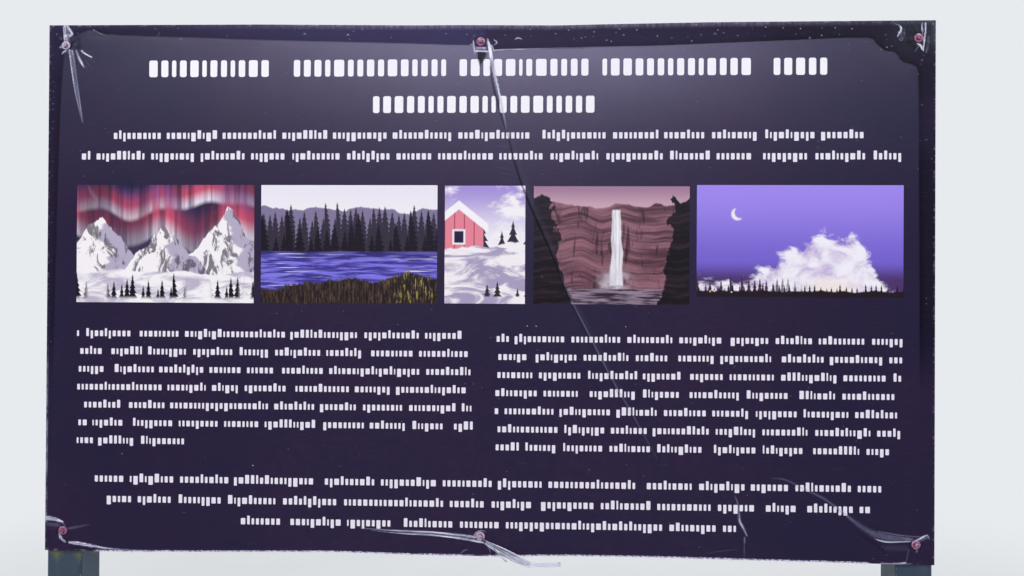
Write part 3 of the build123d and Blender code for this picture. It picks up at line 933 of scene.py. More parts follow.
def mark_sharp_rim(mesh, count):
    """Keeps the cloth's cut edges crisp, so that its face and back are shaded apart."""
    ends = np.zeros(len(mesh.edges) * 2, np.int32)
    mesh.edges.foreach_get("vertices", ends)
    ends = ends.reshape(-1, 2)
    used = np.zeros(len(mesh.edges), np.int32)
    wall_edges = np.zeros(len(mesh.edges), bool)
    for polygon in mesh.polygons:
        if len(polygon.vertices) == 4:
            for loop in polygon.loop_indices:
                edge = mesh.loops[loop].edge_index
                used[edge] += 1
                wall_edges[edge] = (ends[edge] < count).all() or (ends[edge] >= count).all()
    sharp = mesh.attributes.new("sharp_edge", "BOOLEAN", "EDGE")
    sharp.data.foreach_set("value", wall_edges & (used > 0))


# Shared finishes

# Painted sky reflection on the lifted cloth: middle, reach to each side, top, fall, end, strength, colours
REFLECTION_MIDDLE, REFLECTION_LEFT, REFLECTION_RIGHT = 110, 690, 550
REFLECTION_TOP, REFLECTION_FALL, REFLECTION_END = 545, 133, 0.03
REFLECTION_STRENGTH = 0.23
REFLECTION_COLOUR = (0.70, 0.65, 0.96)
OUTER_REFLECTION = (0.35, 0.74, 0.95)
SKY_SHEEN = (0.17, 0.16, 0.52)
# Painted teal sheen in the clinging top right corner
CORNER_TEAL_SHEEN = (0.030, 0.055, 0.055)
# Painted shade of the clinging band
CLINGING_SHADE = (0.001, 0.0, 0.004)
DUST_GRAIN = (0.50, 0.48, 0.60)
EDGE_LILAC = (0.46, 0.42, 0.62)
WORN_EDGE = (0.38, 0.33, 0.45)
CLOTH_CORE = (0.66, 0.62, 0.76)
TORN_LILAC = (0.26, 0.21, 0.40)
FOLD_WHITE = (0.88, 0.86, 1.0)
FOLD_GREY = (0.36, 0.35, 0.54)
FOLD_BLUE = (0.24, 0.25, 0.42)
CREASE_SHADE = (0.004, 0.003, 0.008)
TORN_STRETCHES = [(-889, -57), (25, 862)]


def build_weathered_print():
    """The look of the weathered, coated cloth round whatever is printed on it, with painted sky reflection,
    sheen, glints and shade.
    """
    net, given, out = new_group(
        "weathered_print",
        {"Print": "colour"},
        {"Colour": "colour", "Roughness": "value", "Gloss": "value", "Normal": "vector"},
    )
    where = net.position()
    across, up = net.board_place()
    clinging = net.attribute("clinging")
    white = net.attribute("whitening")
    dark = net.attribute("darkening")

    # Painted sky reflection on the lifted cloth, strongest at the middle of the top
    aside = net.minus(across, REFLECTION_MIDDLE)
    width = net.blend(net.math("GREATER_THAN", aside, 0), REFLECTION_LEFT, REFLECTION_RIGHT)
    aside = net.over(aside, width)
    spread = net.math("EXPONENT", net.product(aside, aside, -1))
    depth = net.over(net.minus(REFLECTION_TOP, up), REFLECTION_FALL)
    fall = net.minus(net.over(1, net.total(net.product(depth, depth), 1)), REFLECTION_END)
    cloudy = net.rise(net.noise(where, 5, detail=4, rough=0.6), 0.25, 0.8, 0.92, 1.08)
    cleared = net.scaled(clinging, -0.92, 1)
    sky_reflection = net.product(spread, fall, cloudy, cleared, REFLECTION_STRENGTH)
    # Painted shade on the clinging band: a base share, more down the right side and at the top right, and the
    # shadow line
    shaded = net.product(net.rise(across, 915, 960), net.rise(up, 350, 280), 0.3)
    right_end_shade = net.product(net.rise(across, 560, 680), net.rise(up, 400, 450), 0.25)
    shaded = net.total(shaded, right_end_shade, net.product(net.attribute("shade"), 0.3), 0.3)
    printed = net.mix(net.product(clinging, shaded, net.rise(up, -260, -60)), given["Print"], CLINGING_SHADE)
    colour = net.mix(net.most(sky_reflection, 0), printed, REFLECTION_COLOUR)
    # A faint painted reflection towards both sides
    outer = net.product(net.rise(net.apart(across, 0), 450, 850), net.rise(up, 130, 420), cleared, 0.010)
    colour = net.mix(outer, colour, OUTER_REFLECTION)

    # Painted sky sheen: blue along the clinging top up to the middle screw, teal in the top right corner
    sheen = net.product(net.rise(across, -1100, -120), net.rise(across, 30, -30))
    sheen = net.most(sheen, net.rise(across, 700, 0, 0, 0.20))
    sheen = net.product(sheen, clinging, net.rise(up, 470, 540), cloudy, 0.10)
    colour = net.mix(sheen, colour, SKY_SHEEN)
    corner = net.product(clinging, net.rise(across, 880, 950), net.rise(up, 500, 570), 0.25)
    colour = net.mix(corner, colour, CORNER_TEAL_SHEEN)

    # Dust grains, crowded where the cloth clings along the top right, and faint scratches
    distance, chance = net.cells(net.position((0.7, 0, 1)), 150)
    crowd = net.product(clinging, net.rise(across, 60, 260, 0.35, 1), net.rise(up, 480, 540))
    rare = net.minus(chance[0], net.scaled(crowd, -0.22, 0.95))
    share = net.scaled(crowd, 0.4, 0.16)
    grain = net.product(net.rise(distance, 0.26, 0.10), net.rise(rare, 0, 0.02), share, chance[1])
    colour = net.mix(grain, colour, DUST_GRAIN)
    scratches = net.noise(net.position((26, 0, 700)), 1, detail=3, rough=0.65)
    colour = net.mix(net.rise(scratches, 0.58, 0.80, 0, 0.07), colour, DUST_GRAIN)
    ragged = net.noise(net.position((1, 0, 0.2)), 130, detail=4, rough=0.7)
    wear = net.rise(net.noise(net.position((1, 1, 3)), 60, detail=3), 0.50, 0.7)
    wear = net.product(net.rise(net.attribute("to_edge"), 6, 0), wear, 0.4)
    colour = net.mix(wear, colour, WORN_EDGE)
    rim = net.product(net.rise(net.attribute("to_edge"), 14, 0), net.rise(up, 520, 570))
    rim = net.product(rim, net.rise(across, -800, -100, 0.1, 1), net.rise(across, 900, 500, 0.4, 1))
    colour = net.mix(net.product(rim, net.rise(ragged, 0.35, 0.65, 0.10, 0.30)), colour, EDGE_LILAC)
    sliver = net.product(net.rise(across, -994, -998), net.rise(up, -120, -240), net.rise(up, -540, -530))
    sliver = net.product(sliver, 0.5, net.rise(ragged, 0.35, 0.6))
    colour = net.mix(sliver, colour, EDGE_LILAC)

    # Torn lower edge, where the white core shows
    torn = net.minus(net.scaled(ragged, 9, -1), net.attribute("to_bottom"))
    (left, whole_from), (whole_to, right) = TORN_STRETCHES
    between = net.product(net.rise(across, left, left + 14), net.rise(across, right, right - 14))
    whole = net.product(net.rise(across, whole_from, 8), net.rise(across, whole_to, -8))
    core = net.mix(net.rise(net.noise(where, 170, detail=3), 0.42, 0.58), TORN_LILAC, CLOTH_CORE)
    colour = net.mix(net.product(net.rise(torn, 0, 1.2), between, net.minus(1, whole)), colour, core)

    # Folds turn milky in streaks, partly real whitened film, partly painted glint; creases get painted shade
    strands = net.join(net.product(net.attribute("strand"), 2.3), net.product(net.attribute("run"), 0.02))
    strands = net.noise(strands, 1, detail=3, rough=0.6)
    crazing = net.rise(net.noise(where, 260, detail=3, rough=0.7), 0.3, 0.62, 0.85, 1.1)
    milky = net.product(white, net.rise(strands, 0.34, 0.60, 0.5, 1.05), crazing)
    milk = net.mix(net.rise(white, 0.25, 0.8), FOLD_BLUE, FOLD_GREY)
    # Painted glint: the whitest streak cores of the folds
    glint = net.product(net.rise(strands, 0.44, 0.60), net.rise(white, 0.45, 0.8))
    milk = net.mix(glint, milk, FOLD_WHITE)
    colour = net.mix(net.least(milky, 1), colour, milk)
    colour = net.mix(net.product(dark, 0.92), colour, CREASE_SHADE)
    net.feed(out["Colour"], colour)

    rough = net.scaled(net.noise(where, 38, detail=3), 0.16, 0.40)
    rough = net.scaled(clinging, -0.08, rough)
    net.feed(out["Roughness"], net.scaled(white, -0.18, rough))
    net.feed(out["Gloss"], net.scaled(white, 0.6, 0.02))
    weave = net.noise(net.position((900, 900, 650)), 1, detail=1)
    ripple = net.noise(net.position((1, 1, 0.45)), 22, detail=3, rough=0.6)
    normal = net.bump(weave, 0.04 * MM, 0.5)
    net.feed(out["Normal"], net.bump(ripple, 0.8 * MM, 0.35, normal))
    return net.tree


VIOLET = (0.0204, 0.0128, 0.0424)
VIOLET_WARM = (0.0238, 0.0130, 0.0428)
VIOLET_COOL = (0.0170, 0.0128, 0.0420)
VIOLET_SHEEN = (0.85, 0.62, 1.0)


def build_ground_print():
    """The dark violet ground, with its slow drift of colour and a faint painted sheen towards the middle."""
    net, _, out = new_group("violet_ground", {}, {"Colour": "colour"})
    drift = net.noise(net.position(), 4.5, detail=4, rough=0.6)
    colour = net.mix(net.rise(drift, 0.35, 0.65), VIOLET_COOL, VIOLET_WARM)
    # Painted sheen: a faint lift towards the middle across
    centre = net.rise(net.apart(net.board_place()[0], 50), 900, 300, 0, 0.006)
    colour = net.mix(centre, colour, VIOLET_SHEEN)
    fine = net.noise(net.position(), 60, detail=2)
    colour = net.mix(net.rise(fine, 0.3, 0.75, 0, 0.5), colour, VIOLET)
    net.feed(out["Colour"], colour)
    return net.tree


def build_line_of_bars():
    """A mask of off-white bars set in lines like words, with no letter in them."""
    names = [
        "First Line", "Pitch", "Height", "Word", "Bar", "Gap", "Word Gap", "Tall", "Left", "Right", "Seed"
    ]
    net, given, out = new_group("lines_of_bars", {name: "value" for name in names}, {"Mask": "value"})
    across, up = net.board_place()
    depth = net.minus(given["First Line"], up)
    line = net.math("ROUND", net.over(depth, given["Pitch"]))
    below = net.minus(depth, net.product(line, given["Pitch"]))

    def stretches(place, length, shift, randomness):
        """Random stretches of a line: the distance to one's nearest end, its middle and its random values."""
        start = net.total(net.product(line, shift), given["Seed"])
        along = net.total(net.over(place, length), start)
        inputs = {"W": along, "Scale": 1, "Randomness": randomness}
        ends = net.add("ShaderNodeTexVoronoi", inputs, voronoi_dimensions="1D", feature="DISTANCE_TO_EDGE")
        own = net.add("ShaderNodeTexVoronoi", inputs, voronoi_dimensions="1D").outputs
        centre = net.product(net.minus(own["W"], start), length)
        return net.product(ends.outputs["Distance"], length), centre, net.split(own["Color"])

    # A bar goes as a whole where its middle falls between two words or past the line's ends
    to_bar_end, centre, chance = stretches(across, given["Bar"], 37.31, 0.75)
    to_word_end, _, _ = stretches(centre, given["Word"], 17.83, 0.75)
    margin = net.product(given["Bar"], 0.3)
    to_end = net.least(net.minus(centre, given["Left"]), net.minus(given["Right"], centre))
    kept = net.math("GREATER_THAN", net.product(to_word_end, 2), given["Word Gap"])
    kept = net.product(kept, net.math("GREATER_THAN", to_end, margin))
    to_side = net.minus(to_bar_end, net.product(given["Gap"], 0.5))
    to_side = net.least(to_side, net.minus(across, given["Left"]))
    to_side = net.least(to_side, net.minus(given["Right"], across))
    half = net.product(given["Height"], 0.5)
    tall = net.product(net.rise(chance[0], 0.80, 0.81), given["Tall"], given["Height"])
    low = net.product(net.rise(chance[0], 0.10, 0.09), given["Tall"], given["Height"])
    to_top = net.total(half, tall, below)
    to_foot = net.minus(net.total(half, low), below)
    to_level = net.least(to_top, to_foot)
    corner = net.product(given["Height"], 0.12)
    short_side = net.most(net.minus(corner, to_side), 0)
    short_level = net.most(net.minus(corner, to_level), 0)
    inside = net.minus(corner, net.hypot(short_side, short_level))
    net.feed(out["Mask"], net.product(kept, net.rise(inside, -LINE_EDGE / 2, LINE_EDGE / 2)))
    return net.tree


def finish_print(net, print_colour):
    """Puts the weathered cloth's finish, with its painted light and shade, over a printed colour."""
    look = net.use(WEATHER_AND_LIGHT_ON_PRINT, print=print_colour)
    return net.coat(
        base_color=look["Colour"], roughness=look["Roughness"], normal=look["Normal"],
        coat_weight=look["Gloss"], coat_roughness=0.16, specular_ior_level=0.06,
    )


def plain_ground():
    """The print where nothing stands on the violet."""
    net = new_material("violet_print")
    return finish_print(net, net.use(VIOLET_GROUND)["Colour"])


def text_material(name, first, pitch, height, word, bar, gap, word_gap, tall, ink, ends, seed):
    """A block of lines on the violet ground."""
    net = new_material(name + "_print")
    _, up = net.board_place()
    left, right = ends[0]
    for number, (next_left, next_right) in enumerate(ends[1:], 1):
        if (next_left, next_right) != ends[number - 1]:
            lower = net.math("LESS_THAN", up, first - (number - 0.5) * pitch)
            left = net.blend(lower, left, next_left)
            right = net.blend(lower, right, next_right)
    bars = net.use(
        LINES_OF_BARS, first_line=first, pitch=pitch, height=height, word=word, bar=bar, gap=gap,
        word_gap=word_gap, tall=tall, left=left, right=right, seed=seed,
    )
    colour = net.mix(bars["Mask"], net.use(VIOLET_GROUND)["Colour"], ink)
    return finish_print(net, colour)


# The pictures: plain landscapes, drawn as layers from the back to the front

class Picture(Net):
    """A picture's finish, with its places u across and v up, both in units of its height."""

    def __init__(self, name, left, right, bottom, top):
        super().__init__(*material_tree(name + "_print"))
        x, _, z = self.split(self.position())
        high = (top - bottom) * MM
        self.wide = (right - left) / (top - bottom)
        self.u = self.over(self.minus(x, BOARD_X + left * MM), high)
        self.v = self.over(self.minus(z, BOARD_Z + bottom * MM), high)
        self.colour = (0, 0, 0)

    def clouds(self, stretch_u, stretch_v, detail=4, rough=0.6, distortion=0):
        """Cloudy noise with so many cells across and up in the picture's height."""
        where = self.join(self.product(self.u, stretch_u), self.product(self.v, stretch_v))
        return self.noise(where, 1, detail, rough, distortion)

    def lay(self, colour, *masks):
        """Paints a colour where all the masks are 1."""
        self.colour = self.mix(self.product(*masks), self.colour, colour)

    def line(self, height, rough, scale, seed, slope=0, detail=4):
        """The height of a skyline across the picture."""
        wavy = self.scaled(self.wander(self.u, scale, seed, detail), rough, height)
        return self.scaled(self.u, slope, wavy)

    def below(self, line, soft=0.008):
        """A mask of what lies below a skyline."""
        return self.rise(self.minus(line, self.v), -soft, soft)

    def above(self, height, soft=0.006):
        """A mask of what lies above a height."""
        return self.rise(self.v, height - soft, height + soft)

    def left_of(self, place, soft=0.006):
        """A mask of what lies to the left of a place, which may be a value that changes with the height."""
        return self.rise(self.minus(place, self.u), -soft, soft)

    def right_of(self, place, soft=0.006):
        return self.rise(self.minus(self.u, place), -soft, soft)

    def near(self, u, half, soft=0.006):
        """An upright band, so far to each side of u."""
        return self.rise(self.apart(self.u, u), half + soft, half - soft)

    def disc(self, u, v, radius, soft=0.01):
        """A round mask."""
        gap = self.hypot(self.minus(self.u, u), self.minus(self.v, v))
        return self.rise(gap, radius + soft, radius - soft)

    def mountain(self, u, v, width, seed, lit, shaded, rock):
        """A snowy peak at u, v, with a lit side and a shaded side parted by a wandering ridge."""
        cone = self.scaled(self.apart(self.u, u), -v / width, v)
        skyline = self.scaled(self.wander(self.u, 7, seed, 4), 0.16, cone)
        ridge = self.scaled(self.wander(self.v, 7, seed + 0.5, 3), 0.26, u)
        ridge = self.scaled(self.minus(v, self.v), 0.20, ridge)
        snow = self.mix(self.rise(self.minus(self.u, ridge), -0.02, 0.02), lit, shaded)
        gullies = self.rise(self.clouds(11, 5, 5, 0.66, 0.9), 0.52, 0.60, 0, 0.85)
        self.lay(self.mix(gullies, snow, rock), self.below(skyline))

    def spruce(self, aside, down, slender, tiers):
        """A spruce's outline, which widens downwards in tiers."""
        tier = self.math("FRACT", self.product(down, tiers))
        half = self.product(down, slender, self.scaled(tier, 0.5, 0.5))
        return self.product(self.rise(self.minus(half, aside), -0.004, 0.004), self.rise(down, 0, 0.01))

    def forest(self, tips, spread, spacing, seed, slender=0.22, tiers=24):
        """A row of spruces whose tips reach up to a height, and down to a spread below it."""
        along = self.scaled(self.u, 1 / spacing, seed)
        row = self.add(
            "ShaderNodeTexVoronoi", {"W": along, "Scale": 1, "Randomness": 0.8}, voronoi_dimensions="1D"
        )
        tip = self.scaled(self.split(row.outputs["Color"])[0], -spread, tips)
        aside = self.product(row.outputs["Distance"], spacing)
        return self.spruce(aside, self.minus(tip, self.v), slender, tiers)

    def finish(self):
        return finish_print(self, self.colour)


# Inks that several pictures or layers share
SNOW = (0.93, 0.88, 0.92)
SNOW_PALE = (0.92, 0.86, 0.90)
SPRUCE = (0.010, 0.007, 0.014)

# Curtains of light: height of the foot, how far it wanders, its seed and how far the light reaches up
NIGHT_LIGHTS = [(0.78, 0.55, 2.0, 0.36), (0.50, 0.70, 7.0, 0.52)]


def night_peaks(art):
    """White peaks under a night sky with curtains of light."""
    art.colour = art.mix(art.rise(art.v, 0.35, 1), (0.050, 0.035, 0.095), (0.007, 0.006, 0.014))
    for height, rough, seed, reach in NIGHT_LIGHTS:
        up = art.minus(art.v, art.line(height, rough, 1.4, seed, detail=1))
        rays = art.join(art.scaled(art.u, 20, seed), art.product(art.v, 0.7))
        hue = art.mix(art.rise(up, 0.02, 0.4 * reach), (0.84, 0.76, 0.90), (0.62, 0.09, 0.17))
        hue = art.mix(art.rise(up, 0.4 * reach, 0.9 * reach), hue, (0.13, 0.12, 0.52))
        gaps = art.rise(art.wander(art.u, 1.6, seed + 3, 1), -0.08, 0.06, 0.3, 1)
        fall = art.rise(up, reach, 0.3 * reach)
        art.lay(hue, art.rise(up, -0.01, 0.04), fall, gaps, art.rise(art.noise(rays, 1), 0.30, 0.60, 0.3, 1))
    for u, v, width, seed in [(0.20, 0.74, 0.66, 1.0), (1.30, 0.80, 0.64, 9.0), (0.76, 0.66, 0.60, 5.0)]:
        art.mountain(u, v, width, seed, SNOW, (0.47, 0.41, 0.56), (0.090, 0.068, 0.105))
    drifts = art.clouds(3, 9, 5, 0.6, 0.6)
    art.lay(art.mix(art.rise(drifts, 0.38, 0.56), (0.52, 0.46, 0.60), SNOW),
                art.below(art.line(0.26, 0.14, 2.5, 21)))
    art.lay(SPRUCE, art.forest(0.26, 0.14, 0.060, 4), art.above(0.04, 0.02),
                art.rise(art.clouds(2.2, 0, 1), 0.42, 0.48))


def lake_shore(art):
    """A dark wood of spruces between a pale sky and a blue lake."""
    art.colour = art.mix(art.rise(art.v, 0.7, 1), (0.90, 0.85, 0.90), (0.84, 0.80, 0.90))
    art.lay((0.22, 0.18, 0.32), art.below(art.line(0.80, 0.20, 2.4, 4)))
    art.lay((0.034, 0.026, 0.045), art.forest(0.86, 0.16, 0.050, 7, slender=0.26))
    art.lay(SPRUCE, art.forest(0.80, 0.26, 0.075, 1, slender=0.28))
    ripples = art.clouds(3.5, 34, 4, 0.55, 0.4)
    water = art.mix(art.rise(ripples, 0.40, 0.62), (0.050, 0.038, 0.27), (0.22, 0.19, 0.78))
    water = art.mix(art.rise(art.v, 0.47, 0.34, 0.7, 0), water, (0.015, 0.012, 0.045))
    shine = art.rise(art.clouds(1.8, 52, 3), 0.60, 0.67, 0, 0.8)
    art.lay(art.mix(shine, water, (0.80, 0.76, 0.90)), art.below(art.line(0.44, 0.02, 2, 8), 0.005))
    grass = art.clouds(60, 9, 5, 0.7)
    ground = art.mix(art.rise(grass, 0.44, 0.66), (0.016, 0.011, 0.012), (0.10, 0.062, 0.045))
    bank = art.scaled(art.minus(grass, 0.5), 0.12, art.line(0.15, 0.24, 1.8, 3, slope=0.05))
    art.lay(ground, art.below(bank))
    art.lay((0.40, 0.33, 0.07), art.below(bank), art.rise(grass, 0.54, 0.62), art.right_of(1.15, 0.12))


def snow_hut(art):
    """A coral hut under a snowy roof, with spruces behind it and a snowy hill before it."""
    art.colour = art.mix(art.rise(art.v, 0.5, 1), (0.90, 0.84, 0.92), (0.38, 0.28, 0.68))
    art.lay(SNOW, art.rise(art.clouds(2.4, 4, 5), 0.50, 0.62))
    art.lay(
        (0.030, 0.022, 0.040), art.forest(0.86, 0.26, 0.13, 3, slender=0.28, tiers=16), art.right_of(0.26)
    )
    gable = art.scaled(art.apart(art.u, 0.12), -0.80, 0.80)
    boards = art.math("PINGPONG", art.product(art.u, 24), 1)
    wall = art.mix(art.rise(boards, 0.18, 0.05), (0.80, 0.23, 0.31), (0.42, 0.075, 0.12))
    art.lay(wall, art.below(gable), art.left_of(0.33), art.above(0.38))
    art.lay((0.94, 0.90, 0.95), art.below(art.total(gable, 0.075)), art.left_of(0.37),
                art.minus(1, art.below(gable)))
    art.lay(SNOW_PALE, art.near(0.12, 0.055), art.above(0.50), art.below(0.63))
    art.lay((0.014, 0.012, 0.045), art.near(0.12, 0.040), art.above(0.515), art.below(0.615))
    drifts = art.clouds(2.4, 6, 5, 0.6, 0.8)
    snow = art.mix(art.rise(drifts, 0.42, 0.54), (0.40, 0.34, 0.52), SNOW_PALE)
    art.lay(snow, art.below(art.line(0.46, 0.14, 3, 2, slope=0.06)))
    art.lay((0.035, 0.024, 0.035), art.forest(0.20, 0.08, 0.11, 8, slender=0.3, tiers=30), art.above(0.06),
                art.right_of(0.30))


def red_gorge(art):
    """A waterfall in a gorge of brownish red rock."""
    art.colour = art.mix(art.rise(art.v, 0.8, 1), (0.60, 0.38, 0.46), (0.36, 0.20, 0.30))
    bent = art.scaled(art.wander(art.u, 1.5, 2), 0.30, art.v)
    along = art.product(art.u, 1.4)
    layers = art.noise(art.join(along, art.product(bent, 17)), 1, detail=5, rough=0.62)
    cracks = art.clouds(16, 3, 4, 0.6, 0.5)
    rock = art.mix(art.rise(layers, 0.36, 0.64), (0.085, 0.035, 0.050), (0.30, 0.135, 0.175))
    rock = art.mix(art.rise(cracks, 0.56, 0.66, 0, 0.75), rock, (0.022, 0.011, 0.018))
    art.lay(rock, art.below(art.line(0.84, 0.14, 3, 5)))
    white_water = art.mix(art.rise(art.clouds(50, 3, 3), 0.35, 0.62), (0.58, 0.54, 0.62), (0.90, 0.87, 0.92))
    lip = art.scaled(art.wander(art.v, 3, 6), 0.05, 0.70)
    spread = art.scaled(art.v, -0.035, 0.062)
    art.lay(white_water, art.rise(art.minus(art.apart(art.u, lip), spread), 0.006, -0.006),
                art.below(0.80), art.above(0.16))
    art.lay((0.66, 0.60, 0.68), art.disc(0.69, 0.14, 0.12, 0.10), art.rise(art.clouds(9, 9), 0.35, 0.6))
    pool = art.mix(art.rise(art.clouds(4, 44), 0.4, 0.6), (0.035, 0.020, 0.035), (0.30, 0.22, 0.30))
    art.lay(pool, art.below(0.13, 0.01))
    shade = art.mix(art.rise(layers, 0.42, 0.70), (0.007, 0.005, 0.008), (0.036, 0.020, 0.028))
    rough = art.minus(art.clouds(5, 4, 5), 0.5)
    for side, edge, lean in [(art.left_of, 0.30, 0.16), (art.right_of, 1.06, -0.14)]:
        cliff = art.total(art.product(art.v, -lean), art.product(rough, 0.34), edge)
        art.lay(shade, side(cliff), art.below(art.line(0.90, 0.20, 5, 31)))


def evening_clouds(art):
    """A bank of white cloud over a dark wood at dusk."""
    art.colour = art.mix(art.rise(art.v, 0.25, 1), (0.18, 0.125, 0.62), (0.36, 0.25, 0.86))
    art.lay((0.075, 0.036, 0.150), art.rise(art.v, 0.34, 0.14))
    billows = art.clouds(4.2, 5.7, 6, 0.62, 0.4)
    rise_to = art.scaled(art.rise(art.u, 0.3, 1.15), 0.42, 0.12)
    rise_to = art.product(rise_to, art.rise(art.u, 1.75, 1.35))
    bank = art.total(rise_to, art.product(art.minus(billows, 0.5), 0.55))
    puff = art.mix(art.rise(billows, 0.30, 0.60), (0.55, 0.42, 0.68), (0.92, 0.88, 0.96))
    art.lay(puff, art.below(bank, 0.045))
    art.lay((0.92, 0.80, 0.76), art.disc(1.18, 0.12, 0.20, 0.16), art.rise(art.v, 0.22, 0.08))
    art.lay((0.060, 0.028, 0.060), art.forest(0.20, 0.10, 0.050, 12), art.left_of(0.85, 0.25))
    art.lay((0.012, 0.007, 0.015), art.forest(0.135, 0.07, 0.045, 5))
    art.lay((0.016, 0.009, 0.016), art.below(art.line(0.055, 0.04, 6, 3)))
    for u, v in [(0.12, 0.050), (0.16, 0.053), (0.31, 0.045)]:
        art.lay((0.95, 0.78, 0.45), art.disc(u, v, 0.006, 0.004))
    moon = art.minus(art.disc(0.36, 0.74, 0.055), art.disc(0.385, 0.755, 0.052), clamp=True)
    art.lay((0.90, 0.86, 0.88), moon)


PAINTERS = {
    paint.__name__: paint for paint in (night_peaks, lake_shore, snow_hut, red_gorge, evening_clouds)
}


def print_regions():
    """Each picture and each block of lines as a material and its rectangle on the board."""
    regions = []
    for name, left, right, bottom, top in PICTURES:
        picture = Picture(name, left, right, bottom, top)
        PAINTERS[name](picture)
        regions.append((picture.finish(), left, right, bottom, top))
    for seed, (name, first, pitch, *sizes, ends) in enumerate(TEXT_BLOCKS):
        material = text_material(name, first, pitch, *sizes, ends, seed * 3.7)
        left = min(end[0] for end in ends) - TEXT_MARGIN
        right = max(end[1] for end in ends) + TEXT_MARGIN
        bottom = first - (len(ends) - 0.5) * pitch
        regions.append((material, left, right, bottom, first + pitch / 2))
    return regions


BACK_GREY, BACK_WHITE, BACK_THREADS = (0.50, 0.49, 0.52), (0.66, 0.65, 0.68), (0.36, 0.35, 0.38)


def cloth_back():
    """The cloth's white back, greyed by dust and by the print that shows through."""
    net = new_material("cloth_back")
    stain = net.noise(net.position(), 7, detail=5, rough=0.6)
    colour = net.mix(net.rise(stain, 0.35, 0.7), BACK_GREY, BACK_WHITE)
    threads = net.noise(net.position((700, 700, 500)), 1, detail=1)
    colour = net.mix(net.rise(threads, 0.45, 0.7, 0, 0.25), colour, BACK_THREADS)
    return net.coat(base_color=colour, normal=net.bump(threads, 0.08 * MM, 0.6), roughness=0.7)


# The loose strip at the bottom middle screw

# x, z, half width and how far it stands off the cloth
STRIPS = [
    [
        (5, -564, 3, 0.3), (26, -575, 6.5, 2), (48, -586, 9, 4), (76, -599, 9.5, 6),
        (102, -611, 7.5, 6), (115, -615, 5, 5), (145, -615, 5, 4), (178, -612, 5, 3),
    ],
    [(22, -576, 1.5, 2.5), (31, -583, 2.2, 4), (44, -596, 2.2, 5.5), (58, -608, 1.4, 4.5)],
]
STRIP_ROWS = 25
STRIP_THICKNESS = 0.3 * MM
STRIP_PLEAT = 0.9
STRIP_WHITE_END = (0.64, 0.70)
STRIP_BLUE = (0.16, 0.18, 0.40)
STRIP_GREY = (0.36, 0.37, 0.50)


def strip_grid(points):
    """A strip's points, in rows across it, and their shares along and across."""
    path = smooth_path(points, rounds=3)
    run = np.gradient(path[:, :2], axis=0)
    run /= np.linalg.norm(run, axis=1)[:, None]
    share = np.linspace(-1, 1, STRIP_ROWS)
    half = path[:, 2, None]
    x = path[:, 0, None] - run[:, 1, None] * half * share
    z = path[:, 1, None] + run[:, 0, None] * half * share
    along = np.linspace(0, 1, len(path))[:, None] + 0 * share
    under = cloth_shape(x.ravel(), np.maximum(z, -BOARD_HEIGHT / 2).ravel())[0].reshape(x.shape)
    pleats = STRIP_PLEAT * np.cos(3 * math.pi * share + 2 * along) * step(along * 4)
    off = np.maximum(under, 0) + path[:, 3, None] + pleats + STRIP_PLEAT
    front = np.stack([BOARD_X + x * MM, SHEET_FRONT - off * MM, BOARD_Z + z * MM], -1)
    return front.reshape(-1, 3), along.ravel(), (share + 0 * along).ravel()


def strip_faces(first, rows):
    """The faces of a thin closed strip: its front points start at first, and its rear points follow."""
    wide, count = STRIP_ROWS, rows * STRIP_ROWS
    corners = [(i * wide + j, (i + 1) * wide + j) for i in range(rows - 1) for j in range(wide - 1)]
    faces = [(a, b, b + 1, a + 1) for a, b in corners]
    faces += [(a + 1 + count, b + 1 + count, b + count, a + count) for a, b in corners]
    last = count - wide
    rim = list(range(wide - 1)) + list(range(wide - 1, last + wide - 1, wide))
    rim += list(range(last + wide - 1, last, -1)) + list(range(last, 0, -wide))
    faces += [(a, b, b + count, a + count) for a, b in zip(rim, rim[1:] + rim[:1])]
    return [[first + corner for corner in face] for face in faces]


def make_loose_strip(material):
    """Loose strips of clear coating that hang by the bottom middle screw, pleated along their length."""
    points, faces, along, across = [], [], [], []
    for path in STRIPS:
        front, share_along, share_across = strip_grid(path)
        faces += strip_faces(len(points), len(front) // STRIP_ROWS)
        points += front.tolist() + (front + (0, STRIP_THICKNESS, 0)).tolist()
        along += [share_along] * 2
        across += [share_across] * 2
    mesh = bpy.data.meshes.new("loose_strip")
    mesh.from_pydata(points, [], faces)
    store(mesh, {"along": along, "across": across})
    mesh.materials.append(material)
    mesh.shade_smooth()
    return new_object("loose_strip", mesh)


def strip_coating():
    """Milky, bluish clear coating with white and blue lines along it, and a white, curled end."""
    net = new_material("strip_coating")
    across, along = net.attribute("across"), net.attribute("along")
    lines = net.join(net.product(across, 4), net.product(along, 2.5))
    lines = net.noise(lines, 1, detail=4, rough=0.65)
    end = net.rise(along, *STRIP_WHITE_END)
    rim = net.rise(net.size_of(across), 0.78, 0.94)
    colour = net.mix(net.rise(lines, 0.35, 0.55), STRIP_BLUE, STRIP_GREY)
    white = net.most(net.rise(lines, 0.52, 0.62), net.product(net.most(end, rim), 0.9))
    colour = net.mix(white, colour, FOLD_WHITE)
    alpha = net.most(net.rise(lines, 0.42, 0.62, 0.30, 1), net.product(end, 0.9), rim)
    normal = net.bump(lines, 0.4 * MM, 0.5)
    return net.coat(base_color=colour, alpha=alpha, normal=normal, roughness=0.25, coat_weight=0.6)


# Pieces that grow along lines

def trace(name, lines):
    """Bare lines as a mesh. Each line is its points and whether it closes on itself."""
    points, edges = [], []
    for line, closed in lines:
        first = len(points)
        points += line
        edges += [(first + i, first + i + 1) for i in range(len(line) - 1)]
        if closed:
            edges.append((len(points) - 1, first))
    mesh = bpy.data.meshes.new(name)
    mesh.from_pydata(points, edges, [])
    return new_object(name, mesh)


